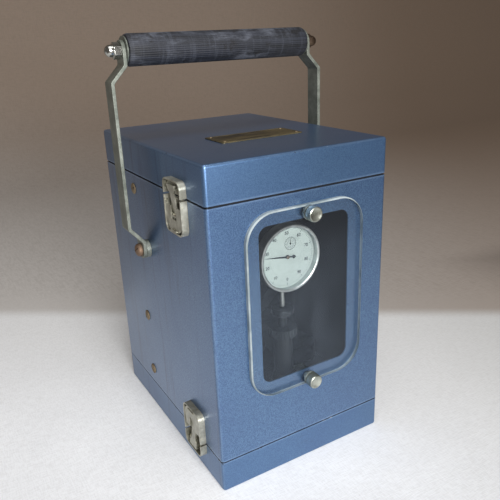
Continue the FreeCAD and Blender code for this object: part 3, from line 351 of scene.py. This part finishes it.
def grip_material():
    """Old dark plastic: streaked lengthwise, banded, worn pale in patches, cracked and dirty."""
    g = Graph("grip_plastic")
    along = g.noise(1.0, 4.0, 0.65, g.stretched((14, 330, 330)))
    patch = g.noise(1.0, 5.0, 0.65, g.stretched((26, 60, 60)))
    around = g.noise(1.0, 4.0, 0.7, g.stretched((260, 18, 18), (0.4, 0.1, 0.2)))
    shade = g.blend(g.level(along, 0.35, 0.65), GRIP_DARK, GRIP_GREY)
    shade = g.blend(g.level(around, 0.5, 0.7, 0.0, 0.5), shade, GRIP_BANDS)
    shade = g.blend(g.level(patch, 0.52, 0.68, 0.0, 0.6), shade, GRIP_RUBBED)
    grime = g.noise(48, 6.0, 0.7)
    shade = g.blend(g.level(grime, 0.55, 0.62, 0.0, 0.9), shade, GRIP_GRIME)
    cracks = g.cells(26, g.stretched((0.45, 2.2, 2.2)))
    shade = g.blend(g.level(cracks, 0.88, 0.98, 0.0, 0.8), shade, GRIP_GRIME)
    roughness = g.level(patch, 0.3, 0.7, 0.5, 0.75)
    height = g.math("SUBTRACT", along, g.level(grime, 0.56, 0.7))
    return g.set(Base_Color=shade, Roughness=roughness, Normal=g.bump(height, 0.18 * MM))


def plate_material():
    """Tarnished brass plate, left bare, with dull green-brown clouds."""
    g = Graph("name_plate_brass")
    cloud = g.noise(42, 5.0, 0.7, g.stretched((0.5, 1.6, 1.0)))
    shade = g.blend(g.level(cloud, 0.4, 0.6), colour(54, 50, 42), colour(98, 88, 60))
    spots = g.noise(400, 4.0)
    shade = g.blend(g.level(spots, 0.5, 0.7, 0.0, 0.5), shade, colour(58, 52, 40))
    roughness = g.level(cloud, 0.35, 0.65, 0.6, 0.42)
    return g.set(Base_Color=shade, Roughness=roughness, Metallic=0.5, Normal=g.bump(spots, 0.05 * MM))


def dial_material():
    """White enamel, faintly clouded and foxed."""
    g = Graph("dial_white")
    cloud = g.noise(120, 5.0, 0.7)
    shade = g.blend(g.level(cloud, 0.4, 0.7, 0.0, 0.5), DIAL_PALE, DIAL_DULL)
    foxing = g.noise(420, 5.0, 0.75)
    shade = g.blend(g.level(foxing, 0.66, 0.74, 0.0, 0.4), shade, FOXING)
    roughness = g.level(cloud, 0.3, 0.7, 0.5, 0.62)
    return g.set(Base_Color=shade, Roughness=roughness, Normal=g.bump(foxing, 0.02 * MM))


def make_materials():
    """Every material by name: for metals pale, dark and stained colours, for coatings pale and dark."""
    materials = {
        "paint_base": paint("paint_base", "base_tray", "top", peel=0.35),
        "paint_body": paint("paint_body", "case_shell", "both", peel=1.0),
        "paint_lid": paint("paint_lid", "lid_shell", "bottom", peel=0.3),
        "dial_white": dial_material(),
        "clear": see_through("clear", haze=0.035, rough=0.03),
        "crystal": see_through("crystal", haze=0.02, rough=0.02),
        "grip_plastic": grip_material(),
        "name_plate": plate_material(),
    }
    metals = {
        "latch_nickel": ((198, 197, 184), (150, 148, 133), (92, 80, 60), (0.3, 0.45), 0.36, 0.7),
        "thumb_nickel": ((200, 204, 194), (146, 150, 140), (104, 98, 80), (0.25, 0.42), 0.36),
        "strap_plating": ((136, 140, 131), (102, 107, 99), (76, 77, 68), (0.38, 0.52), 0.36, 0.5),
        "chrome": ((206, 206, 200), (150, 150, 144), (96, 86, 70), (0.14, 0.26), 0.24),
        "brass": ((150, 134, 106), (116, 100, 78), (74, 62, 52), (0.42, 0.6), 0.45, 0.6),
        "copper": ((136, 112, 92), (104, 84, 68), (70, 58, 48), (0.5, 0.65), 0.45, 0.5),
        "rusty_knob": ((112, 96, 82), (80, 64, 52), (62, 46, 36)),
        "bezel_silver": ((214, 217, 216), (178, 181, 180), (128, 124, 114), (0.3, 0.42), 0.32),
        "plate_rim": ((112, 102, 76), (84, 76, 56), (60, 54, 42), (0.45, 0.6), 0.5, 0.5),
    }
    for name, (pale, dark, stain, *finish) in metals.items():
        materials[name] = plated(name, colour(*pale), colour(*dark), colour(*stain), *finish)
    steels = {
        "tool_steel": ((74, 78, 82), (46, 49, 52)),
        "spindle_steel": ((196, 198, 196), (150, 152, 150)),
    }
    for name, (pale, dark) in steels.items():
        materials[name] = machined(name, colour(*pale), colour(*dark))
    coatings = {
        "frame_steel": ((34, 37, 41), (24, 26, 29), 0.55, 160, 0.3),
        "black_screws": ((40, 40, 44), (26, 26, 30), 0.4, 500, 0.5),
        "gauge_body": ((36, 38, 42), (24, 26, 29), 0.4, 500),
        "pointer_black": ((34, 34, 38), (24, 24, 28), 0.45, 900),
        "print_black": ((34, 37, 46), (24, 26, 34), 0.6, 900),
        "cover_rim": ((160, 170, 172), (118, 130, 134), 0.4, 700),
        "pad_rubber": ((44, 44, 46), (32, 32, 34), 0.8, 250),
    }
    for name, (pale, dark, *finish) in coatings.items():
        materials[name] = satin(name, colour(*pale), colour(*dark), *finish)
    return materials


MATERIALS = make_materials()
NODE_MATERIAL = {"base_tray": "paint_base", "case_shell": "paint_body", "lid_shell": "paint_lid",
                 "name_plate": "name_plate", "anvil_screw": "tool_steel", "anvil_lock_nut": "tool_steel",
                 "gauge_spindle": "spindle_steel", "contact_point": "spindle_steel"}


def material_of(node):
    return MATERIALS[NODE_MATERIAL.get(node, SLOT_OF[node])]


# Mesh helpers, with lengths in metres

SHARP_ANGLE = math.radians(34)
BEVEL_ANGLE = math.radians(32)
FLAT_ANGLE = math.radians(0.5)
LEVEL_NORMAL = 0.9
WELD_DISTANCE = 2e-6
TOUCHING = 1e-5
NO_LENGTH = 1e-7
RIM_ROUNDING = 0.3 * MM
LETTER_RISE = 0.02 * MM
LETTER_WEIGHT = 0.018


def add_piece(name, mesh, node, material=None, stands_for=True):
    """Puts a mesh in the scene, on the body of a CAD node, with the material given."""
    piece = bpy.data.objects.new(name, mesh)
    bpy.context.scene.collection.objects.link(piece)
    if material is not None:
        mesh.materials.clear()
        mesh.materials.append(material)
    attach(piece, BODY_OF[node])
    if stands_for:
        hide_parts(node)
    return piece


def crisp(mesh):
    """Smooth shading that breaks at the mesh's sharp edges."""
    mesh.shade_smooth()
    mesh.set_sharp_from_angle(angle=SHARP_ANGLE)
    return mesh


def welded(node):
    """A CAD node's mesh with its facets joined into whole faces."""
    mesh = bpy.data.meshes.new(node + "_dressed")
    shape = bmesh.new()
    shape.from_mesh(NODES[node].data)
    bmesh.ops.remove_doubles(shape, verts=shape.verts, dist=WELD_DISTANCE)
    bmesh.ops.dissolve_limit(shape, angle_limit=FLAT_ANGLE, verts=shape.verts, edges=shape.edges)
    shape.to_mesh(mesh)
    shape.free()
    for name in ("custom_normal", "sharp_face", "sharp_edge"):
        if name in mesh.attributes:
            mesh.attributes.remove(mesh.attributes[name])
    return crisp(mesh)


def softened(node, width):
    """A copy of a CAD node with its sharp edges rounded, standing for the node."""
    piece = add_piece(node + "_dressed", welded(node), node, material_of(node))
    bevel = piece.modifiers.new("rounded_edges", "BEVEL")
    bevel.width = width
    bevel.segments = 2
    bevel.limit_method = "ANGLE"
    bevel.angle_limit = BEVEL_ANGLE
    bevel.harden_normals = True
    return piece


def rounded_shell(node, width):
    """A case shell with rounded outer corners and only slightly eased rims."""
    low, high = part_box(node)
    piece = softened(node, width)
    piece.modifiers["rounded_edges"].limit_method = "WEIGHT"
    mesh = piece.data
    weights = mesh.attributes.new("bevel_weight_edge", "FLOAT", "EDGE")
    shape = bmesh.new()
    shape.from_mesh(mesh)
    for edge in shape.edges:
        if len(edge.link_faces) != 2 or edge.calc_face_angle() < BEVEL_ANGLE:
            continue
        level_faces = [face for face in edge.link_faces if abs(face.normal.z) > LEVEL_NORMAL]
        closed = all(spans_footprint(face, low, high) for face in level_faces)
        outer = closed and walls_met(edge, low, high) == 2
        weights.data[edge.index].value = 1.0 if outer else RIM_ROUNDING / width
    shape.free()
    return piece


def walls_met(edge, low, high):
    """How many sides of the shell's box the edge lies in."""
    a, b = (vertex.co for vertex in edge.verts)
    walls = [(axis, wall) for axis in range(3) for wall in (low[axis], high[axis])]
    return sum(abs(a[axis] - wall) < TOUCHING and abs(b[axis] - wall) < TOUCHING for axis, wall in walls)


def spans_footprint(face, low, high):
    """Whether a level face covers most of the shell's footprint, and isn't a narrow rim."""
    footprint = (high.x - low.x) * (high.y - low.y)
    return face.calc_area() > footprint / 2


def turned(centre, axis, profile, segments, ripple=None):
    """Mesh of revolution: profile is (radius, distance along the axis) from centre, cut in by a ripple."""
    axis = Vector(axis).normalized()
    side = Vector((0, 0, 1)) if abs(axis.z) < 0.5 else Vector((1, 0, 0))
    across = axis.cross(side)
    shape = bmesh.new()
    rings = []
    for step, (radius, along) in enumerate(profile):
        middle = Vector(centre) + axis * along
        if radius < NO_LENGTH:
            rings.append([shape.verts.new(middle)])
            continue
        ring = []
        for i in range(segments):
            turn = 2 * math.pi * i / segments
            reach = radius if ripple is None else radius - ripple(turn, step)
            ring.append(shape.verts.new(middle + (side * math.cos(turn) + across * math.sin(turn)) * reach))
        rings.append(ring)
    for low, high in zip(rings, rings[1:]):
        around = max(len(low), len(high))
        for i in range(around):
            j = (i + 1) % around
            corners = [low[i % len(low)], low[j % len(low)], high[j % len(high)], high[i % len(high)]]
            unique = list(dict.fromkeys(corners))
            if len(unique) > 2:
                shape.faces.new(unique)
    bmesh.ops.remove_doubles(shape, verts=shape.verts, dist=NO_LENGTH)
    bmesh.ops.recalc_face_normals(shape, faces=shape.faces)
    mesh = bpy.data.meshes.new("turned")
    shape.to_mesh(mesh)
    shape.free()
    return crisp(mesh)


def block(low, high):
    """Plain box mesh, used to cut with or as a thin printed mark."""
    shape = bmesh.new()
    bmesh.ops.create_cube(shape, size=1.0)
    low, high = Vector(low), Vector(high)
    for vertex in shape.verts:
        vertex.co = Vector((low[i] + (vertex.co[i] + 0.5) * (high[i] - low[i]) for i in range(3)))
    mesh = bpy.data.meshes.new("block")
    shape.to_mesh(mesh)
    shape.free()
    return mesh


def joined(meshes):
    """One mesh from several."""
    shape = bmesh.new()
    for mesh in meshes:
        shape.from_mesh(mesh)
    result = bpy.data.meshes.new("joined")
    shape.to_mesh(result)
    shape.free()
    return result


def carved(mesh, cutter):
    """The mesh with the cutter's volume taken out."""
    body = bpy.data.objects.new("body", mesh)
    tool = bpy.data.objects.new("tool", cutter)
    for item in (body, tool):
        bpy.context.scene.collection.objects.link(item)
    cut = body.modifiers.new("cut", "BOOLEAN")
    cut.operation = "DIFFERENCE"
    cut.solver = "EXACT"
    cut.object = tool
    result = bpy.data.meshes.new_from_object(body.evaluated_get(bpy.context.evaluated_depsgraph_get()))
    bpy.data.objects.remove(body)
    bpy.data.objects.remove(tool)
    return crisp(result)


def printed(word, size):
    """Mesh of a printed word, centred on the origin in the XY plane."""
    curve = bpy.data.curves.new("print", "FONT")
    curve.body = word
    curve.size = size
    curve.align_x = "CENTER"
    curve.align_y = "CENTER"
    curve.extrude = LETTER_RISE
    curve.offset = size * LETTER_WEIGHT
    item = bpy.data.objects.new("print", curve)
    bpy.context.scene.collection.objects.link(item)
    mesh = bpy.data.meshes.new_from_object(item.evaluated_get(bpy.context.evaluated_depsgraph_get()))
    bpy.data.objects.remove(item)
    return mesh


def scaled(profile):
    """Profile written in millimetres, in metres."""
    return [(radius * MM, along * MM) for radius, along in profile]


def middle_of(node):
    low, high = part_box(node)
    return (low + high) / 2


# Pieces, with sizes in millimetres

EDGE_ROUNDING = {"left_strap": 0.45, "right_strap": 0.45, "latch_plates": 0.3, "lid_latch_keepers": 0.3,
                 "base_latch_keepers": 0.3, "name_plate": 0.15, "handle_pivot_washers": 0.25,
                 "grip_washers": 0.2}
LEVER_ROUNDING = 0.35
LINK_ROUNDING = 0.3
SHELL_ROUNDING = {"case_shell": 1.5, "lid_shell": 1.0, "base_tray": 1.2}
NUT_ROUNDING = 0.3
PRINT_LIFT = 0.04
PRINT_THICKNESS = 0.05
CUTTER_REACH = 12
SIDE_SCREW_HEIGHTS = (230.0, 104.5, 45.0)
SIDE_SCREW_TILTS = (24, 71, -38)


def dress_plain_nodes():
    """Every CAD node gets its material; the visible ones with sharp edges get rounded copies."""
    for node, piece in NODES.items():
        piece.data.materials.clear()
        piece.data.materials.append(material_of(node))
    for node, width in EDGE_ROUNDING.items():
        softened(node, width * MM)
    for corner in CORNERS:
        softened(corner + "_lever", LEVER_ROUNDING * MM)
        softened(corner + "_link", LINK_ROUNDING * MM)
    for node, width in SHELL_ROUNDING.items():
        rounded_shell(node, width * MM)


def dress_acorn_nuts():
    """A bright nut on the left end of the handle's rod and a rusty one on the right."""
    nuts = softened("acorn_nuts", NUT_ROUNDING * MM)
    nuts.data.materials.append(MATERIALS["rusty_knob"])
    for face in nuts.data.polygons:
        face.material_index = 1 if face.center.x > 0 else 0


def dress_cover():
    """Clear plate with a polished pale rim."""
    mesh = welded("window_cover")
    mesh.materials.clear()
    mesh.materials.append(MATERIALS["clear"])
    mesh.materials.append(MATERIALS["cover_rim"])
    facing_out = 0.98
    for face in mesh.polygons:
        if abs(face.normal.y) < facing_out:
            face.material_index = 1
    add_piece("clear_cover", mesh, "window_cover")


def dress_thumb_screws():
    """Plated screws with a knurled collar, a groove and a knurled head with a dished face."""
    cover_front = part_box("window_cover")[0].y
    knurls = 30
    knurl_depth = 0.4
    head = 6.0
    profile = [(0, -16), (2.1, -16), (2.5, -15.5), (2.5, 0.05), (5.5, 0.05), (head, 0.5), (head, 2.1),
               (5.6, 2.5), (4.2, 2.6), (4.2, 3.4), (5.5, 3.5), (head, 4.0), (head, 9.2), (5.7, 9.7),
               (5.2, 9.97), (4.6, 9.9), (3.9, 9.55), (0, 9.45)]

    def ripple(turn, step):
        if profile[step][0] != head:
            return 0.0
        return knurl_depth * MM * (1 - math.cos(knurls * turn)) / 2

    for node in ("upper_thumb_screw", "lower_thumb_screw"):
        centre = middle_of(node)
        centre.y = cover_front
        mesh = turned(centre, (0, -1, 0), scaled(profile), knurls * 6, ripple)
        add_piece(node + "_dressed", mesh, node, MATERIALS["thumb_nickel"])


def dress_bezel():
    """Bright turned ring with a rounded front and a fine knurl round its edge."""
    low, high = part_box("gauge_bezel")
    centre = middle_of("gauge_bezel")
    centre.y = low.y
    depth = (high.y - low.y) / MM
    outer = (high.x - low.x) / 2 / MM
    lip = 26.4
    inner = 27.3
    knurls = 110
    knurl_depth = 0.24
    profile = [(lip, 1.2), (lip, 0.6), (lip + 0.5, 0.25), (27.6, 0.02), (28.3, 0.15), (28.75, 0.6),
               (28.9, 1.4), (28.9, 2.0), (outer, 2.2), (outer, depth - 0.6), (28.4, depth),
               (inner, depth), (inner, 2.9), (lip, 1.2)]

    def ripple(turn, step):
        if profile[step][0] != outer:
            return 0.0
        return knurl_depth * MM * (1 - math.cos(knurls * turn)) / 2

    mesh = turned(centre, (0, 1, 0), scaled(profile), knurls * 4, ripple)
    add_piece("gauge_bezel_dressed", mesh, "gauge_bezel", MATERIALS["bezel_silver"])


def dial_mark(centre, radius, angle, length, width, y):
    """Thin radial mark on the dial, ending at the radius."""
    mark = block((radius - length, y, -width / 2), (radius, y + PRINT_THICKNESS * MM, width / 2))
    turn = Matrix.Rotation(-angle, 4, "Y")
    mark.transform(Matrix.Translation(Vector((centre.x, 0, centre.z))) @ turn)
    return mark


def dial_number(word, size, spot):
    """A printed number that stands upright on the dial."""
    number = printed(word, size * MM)
    number.transform(Matrix.Translation(spot) @ Matrix.Rotation(math.pi / 2, 4, "X"))
    return number


def dress_dial():
    """Printed marks of the dial: a hundred divisions with ten numbers."""
    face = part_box("gauge_dial")[0].y - PRINT_LIFT * MM
    centre = middle_of("gauge_dial")
    scale_radius = 25.6
    number_radius = 20.2
    number_size = 3.8
    marks = []
    for i in range(100):
        length, width = 1.2, 0.2
        if i % 5 == 0:
            length = 1.8
        if i % 10 == 0:
            length, width = 2.4, 0.4
        angle = math.radians(90 + 3.6 * i)
        marks.append(dial_mark(centre, scale_radius * MM, angle, length * MM, width * MM, face))
    for i in range(10):
        angle = math.radians(-90 - 36 * i)
        spot = centre + Vector((math.cos(angle), 0, math.sin(angle))) * number_radius * MM
        spot.y = face
        marks.append(dial_number(str(10 * i), number_size, spot))
    add_piece("dial_marks", joined(marks), "gauge_dial", MATERIALS["print_black"], stands_for=False)


def dress_counter():
    """Rings, divisions and numbers of the small counter."""
    counter_x = 3.4
    counter_rise = 10.8
    scale_radius = 5.2
    number_radius = 2.6
    number_size = 1.2
    hub = Vector((counter_x * MM, 0, middle_of("gauge_dial").z + counter_rise * MM))
    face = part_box("sub_dial")[0].y - PRINT_LIFT * MM
    marks = []
    for inner, outer in ((5.15, 5.45), (3.7, 3.85)):
        ring = [(inner, 0), (outer, 0), (outer, PRINT_THICKNESS), (inner, PRINT_THICKNESS), (inner, 0)]
        marks.append(turned(Vector((hub.x, face, hub.z)), (0, 1, 0), scaled(ring), 48))
    for i in range(20):
        length = 1.1 if i % 2 == 0 else 0.6
        marks.append(dial_mark(hub, scale_radius * MM, math.radians(18 * i), length * MM, 0.2 * MM, face))
    for i in range(10):
        angle = math.radians(90 - 36 * i)
        across = math.cos(angle) * number_radius * MM
        rise = math.sin(angle) * number_radius * MM
        marks.append(dial_number(str(i), number_size, Vector((hub.x + across, face, hub.z + rise))))
    add_piece("counter_marks", joined(marks), "sub_dial", MATERIALS["print_black"], stands_for=False)


def dress_pointer():
    """Small domed cap over the pointer's hub."""
    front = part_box("gauge_pointer")[0].y
    cap = scaled([(1.55, 0.05), (1.5, -0.12), (1.1, -0.25), (0, -0.28)])
    mesh = turned(Vector((0, front, middle_of("gauge_dial").z)), (0, 1, 0), cap, 32)
    add_piece("pointer_cap", mesh, "gauge_pointer", MATERIALS["copper"], stands_for=False)


def dress_grip():
    """Moulded tube with fine lengthwise flutes and rounded ends."""
    low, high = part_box("handle_grip")
    half = (high.x - low.x) / 2 / MM
    radius = (high.z - low.z) / 2 / MM
    bore = 4.3
    end_length = 2.4
    spans = 12
    flutes = 44
    flute_depth = 0.22
    smooth_radius = 11.0
    fading_radius = 12.0
    ends = [(bore, 0), (10.0, 0), (10.9, 0.1), (11.8, 0.5), (12.1, 1.2), (radius, end_length)]
    profile = [(r, half - along) for r, along in ends]
    for i in range(1, spans):
        profile.append((radius, half - end_length - i * (2 * half - 2 * end_length) / spans))
    profile += [(r, along - half) for r, along in reversed(ends)]
    profile.append((bore, half))

    def ripple(turn, step):
        reach = profile[step][0]
        if reach < smooth_radius:
            return 0.0
        fade = 0.3 if reach < fading_radius else 1.0
        return flute_depth * MM * fade * abs(math.sin(flutes * turn / 2)) ** 6

    mesh = turned(middle_of("handle_grip"), (1, 0, 0), scaled(profile), flutes * 8, ripple)
    add_piece("handle_grip_dressed", mesh, "handle_grip", MATERIALS["grip_plastic"])


def slotted_head(centre, side, profile, slot_width, slot_depth, tilt):
    """Turned screw on a side wall with a slot across its head."""
    mesh = turned(centre, (side, 0, 0), scaled(profile), 48)
    top = max(along for radius, along in profile) * MM
    reach = CUTTER_REACH * MM
    half = slot_width * MM / 2
    cutter = block((-reach, -reach, -half), (reach, reach, half))
    cutter.transform(Matrix.Rotation(tilt, 4, "X"))
    cutter.transform(Matrix.Translation(centre + Vector((side * (top - slot_depth * MM + reach), 0, 0))))
    return carved(mesh, cutter)


def dress_side_screws():
    """Slotted brass heads on the side walls, a little turned from each other."""
    low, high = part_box("side_rail_screws")
    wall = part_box("case_shell")[1].x
    y = (low.y + high.y) / 2
    head = [(0, -12), (2.5, -12), (2.5, 0), (4.7, 0.0), (5.0, 0.35), (4.8, 0.8), (3.9, 1.25), (2.4, 1.52),
            (0, 1.6)]
    slot_width = 1.1
    slot_depth = 0.8
    meshes = []
    for side in (-1, 1):
        for height, tilt in zip(SIDE_SCREW_HEIGHTS, SIDE_SCREW_TILTS):
            place = Vector((side * wall, y, height * MM))
            meshes.append(slotted_head(place, side, head, slot_width, slot_depth, math.radians(tilt * side)))
    add_piece("side_rail_screws_dressed", crisp(joined(meshes)), "side_rail_screws", MATERIALS["brass"])


def dress_pivot_bolts():
    """Domed slotted bolts that the straps turn on."""
    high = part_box("handle_pivot_bolts")[1]
    centre = middle_of("handle_pivot_bolts")
    shank_radius = 4
    shank_end = 65
    length = high.x / MM - shank_end
    head = [(0, -length), (shank_radius, -length), (shank_radius, -5.0), (5.6, -5.0), (5.8, -4.7),
            (5.8, -3.0), (5.3, -1.7), (4.0, -0.6), (2.1, -0.08), (0, 0)]
    slot_width = 1.3
    slot_depth = 1.4
    meshes = []
    for side in (-1, 1):
        place = Vector((side * high.x, centre.y, centre.z))
        meshes.append(slotted_head(place, side, head, slot_width, slot_depth, math.radians(40 * side)))
    add_piece("handle_pivot_bolts_dressed", crisp(joined(meshes)), "handle_pivot_bolts", MATERIALS["copper"])


def dress_name_plate():
    """Bare brass plate with a raised rim line and four drive pins."""
    low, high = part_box("name_plate")
    top = high.z
    inset, line, rise, sunk = 1.6 * MM, 0.5 * MM, 0.12 * MM, 0.1 * MM
    bars = []
    for y in (low.y + inset, high.y - inset - line):
        bars.append(block((low.x + inset, y, top - sunk), (high.x - inset, y + line, top + rise)))
    for x in (low.x + inset, high.x - inset - line):
        bars.append(block((x, low.y + inset, top - sunk), (x + line, high.y - inset, top + rise)))
    add_piece("name_plate_rim", joined(bars), "name_plate", MATERIALS["plate_rim"], stands_for=False)

    pin = scaled([(1.3, -0.1), (1.3, 0.1), (1.0, 0.42), (0.5, 0.58), (0, 0.62)])
    pin_inset = 4.2 * MM
    pins = []
    for x in (low.x + pin_inset, high.x - pin_inset):
        for y in (low.y + pin_inset, high.y - pin_inset):
            pins.append(turned(Vector((x, y, top)), (0, 0, 1), pin, 24))
    add_piece("name_plate_pins", crisp(joined(pins)), "name_plate", MATERIALS["brass"], stands_for=False)


# Camera, stage and light, in metres and watts

# Stage cloth colours: the fold, right, wall and far ones are painted shade
CLOTH_WHITE = colour(216, 217, 219)
CLOTH_PALE = colour(208, 209, 211)
PAINTED_FOLD_SHADE = colour(200, 200, 200)
PAINTED_RIGHT_SHADE = colour(156, 156, 154)
FAR_CLOTH_SHADE = colour(88, 80, 74)
WALL_SHADE_LOW = colour(168, 164, 160)
WALL_SHADE_HIGH = colour(134, 119, 106)
WALL_SHADE_RIGHT = colour(106, 88, 72)
THREADS = colour(96, 86, 76)
WEAVE = colour(120, 114, 108)
# Reach of the pale patch by the object, a painted pool of light, ahead, beside and behind, and where it
# fades to painted shade
PALE_FRONT = 0.05
PALE_SIDE = 0.04
PALE_BACK = 0.7
PALE_FADES_FROM = 0.36
PALE_FADES_TO = 0.62
STAGE_REACH = 3.0
STAGE_SWEEP = [(-STAGE_REACH, 0.0), (1.1, 0.0), (1.45, 0.08), (1.65, 0.35), (1.7, 0.8), (1.7, 2.6)]
WORLD_TINT = colour(128, 120, 114)
WORLD_STRENGTH = 0.42
LAMP_TARGET = Vector((0, 0, 0.1))


def add_camera():
    """The photograph's viewpoint, rolled a little as the photograph is."""
    camera = bpy.data.objects.new("camera", bpy.data.cameras.new("camera"))
    bpy.context.scene.collection.objects.link(camera)
    forward = (CAMERA_TARGET - CAMERA_PLACE).normalized()
    right = forward.cross(Vector((0, 0, 1))).normalized()
    up = right.cross(forward)
    tilted_right = right * math.cos(CAMERA_ROLL) + up * math.sin(CAMERA_ROLL)
    tilted_up = up * math.cos(CAMERA_ROLL) - right * math.sin(CAMERA_ROLL)
    turn = Matrix((tilted_right, tilted_up, -forward)).transposed()
    camera.matrix_world = Matrix.Translation(CAMERA_PLACE) @ turn.to_4x4()
    camera.data.sensor_width = SENSOR_WIDTH
    camera.data.lens = CAMERA_LENS
    camera.data.clip_start = CLIP_NEAR
    camera.data.clip_end = CLIP_FAR
    bpy.context.scene.camera = camera


def add_lamp(name, place, size, power):
    """Soft rectangular lamp that points at the case."""
    lamp = bpy.data.objects.new(name, bpy.data.lights.new(name, "AREA"))
    bpy.context.scene.collection.objects.link(lamp)
    lamp.data.shape = "RECTANGLE"
    lamp.data.size, lamp.data.size_y = size
    lamp.data.energy = power
    lamp.location = place
    lamp.rotation_euler = (LAMP_TARGET - Vector(place)).to_track_quat("-Z", "Y").to_euler()


def stage_cloth():
    """Woven cloth with light and shade painted in: pale by the object as a painted pool of light, painted
    shade near the fold and to the right, and brown-grey painted shade past the fold and far ahead or beside.
    """
    g = Graph("stage_cloth")
    x, y, z = g.split()
    behind = g.math("ADD", g.math("MULTIPLY", x, FOLD_NORMAL[0]), g.math("MULTIPLY", y, FOLD_NORMAL[1]))
    behind = g.math("SUBTRACT", behind, FOLD_DISTANCE)
    depth = g.math("ADD", behind, z)
    across = g.math("SUBTRACT", g.math("MULTIPLY", x, FOLD_NORMAL[1]), g.math("MULTIPLY", y, FOLD_NORMAL[0]))
    beside = g.math("SUBTRACT", g.math("ABSOLUTE", x), PALE_SIDE)
    beside = g.math("MINIMUM", beside, g.math("SUBTRACT", PALE_BACK, g.math("MULTIPLY", y, 2.0)))
    off = g.math("MAXIMUM", g.math("SUBTRACT", -PALE_FRONT, y), beside)

    pale = g.blend(g.level(g.noise(7, 4.0, 0.6), 0.3, 0.7), CLOTH_PALE, CLOTH_WHITE)
    # Painted shade: darker towards the painted fold and towards the right
    pale = g.blend(g.level(behind, -0.35, 0.0), pale, PAINTED_FOLD_SHADE)
    pale = g.blend(g.level(across, 0.0, 0.45, 0.0, 0.7), pale, PAINTED_RIGHT_SHADE)
    # Painted shade: past the fold the flat cloth is painted as a backdrop standing up, darker further back
    # and higher, and towards the right
    wall = g.blend(g.level(depth, 0.0, 1.5), WALL_SHADE_LOW, WALL_SHADE_HIGH)
    wall = g.blend(g.level(across, -0.3, 0.6, 0.0, 0.72), wall, WALL_SHADE_RIGHT)
    cloth = g.blend(g.level(behind, -0.02, 0.015), pale, wall)
    # Painted shade far ahead or beside: outside the painted pool of light the cloth turns dark brown-grey
    cloth = g.blend(g.level(off, PALE_FADES_FROM, PALE_FADES_TO), cloth, FAR_CLOTH_SHADE)

    threads = g.math("ADD", g.noise(1.0, 2.0, 0.6, g.stretched((60, 480, 480))),
                     g.noise(1.0, 2.0, 0.6, g.stretched((480, 60, 60), (0.7, 0.2, 0.4))))
    past_fold = g.level(behind, 0.0, 0.1, 0.0, 0.2)
    cloth = g.blend(g.math("MULTIPLY", g.level(threads, 0.85, 1.25), past_fold), cloth, THREADS)
    weave = g.math("ADD", g.noise(1.0, 3.0, 0.6, g.stretched((900, 130, 130))),
                   g.noise(1.0, 3.0, 0.6, g.stretched((130, 900, 130), (0.3, 0.1, 0.2))))
    cloth = g.blend(g.level(weave, 0.8, 1.3, 0.0, 0.16), cloth, WEAVE)

    rays = g.nodes.new("ShaderNodeLightPath").outputs
    mirrored = g.math("MAXIMUM", rays["Is Glossy Ray"], rays["Is Transmission Ray"])
    seen = g.math("MAXIMUM", rays["Is Camera Ray"], mirrored)
    g.set(Base_Color=cloth, Roughness=0.85, Normal=g.bump(weave, 0.2 * MM))
    return g.set(Emission_Color=cloth, Emission_Strength=g.math("MULTIPLY", seen, STAGE_GLOW))


def add_stage():
    """Cloth that lies on the floor and sweeps up behind the object."""
    shape = bmesh.new()
    rows = []
    for y, z in STAGE_SWEEP:
        rows.append([shape.verts.new((x, y, z)) for x in (-STAGE_REACH, STAGE_REACH)])
    for near, far in zip(rows, rows[1:]):
        shape.faces.new((near[0], near[1], far[1], far[0]))
    mesh = bpy.data.meshes.new("floor")
    shape.to_mesh(mesh)
    shape.free()
    mesh.shade_smooth()
    mesh.materials.append(stage_cloth())
    stage = bpy.data.objects.new("floor", mesh)
    bpy.context.scene.collection.objects.link(stage)


def add_light():
    """Dim warm surroundings, a low lamp in front and a weak one above."""
    world = bpy.data.worlds.new("world")
    world.use_nodes = True
    background = world.node_tree.nodes["Background"]
    background.inputs["Color"].default_value = WORLD_TINT
    background.inputs["Strength"].default_value = WORLD_STRENGTH
    bpy.context.scene.world = world
    add_lamp("key", (-0.25, -1.65, 0.6), size=(0.7, 0.5), power=42)
    add_lamp("top", (-0.15, -0.5, 1.5), size=(0.9, 0.9), power=10)


dress_plain_nodes()
dress_acorn_nuts()
dress_cover()
dress_thumb_screws()
dress_bezel()
dress_dial()
dress_counter()
dress_pointer()
dress_grip()
dress_side_screws()
dress_pivot_bolts()
dress_name_plate()
add_camera()
add_stage()
add_light()

bpy.context.scene.view_settings.view_transform = "Standard"
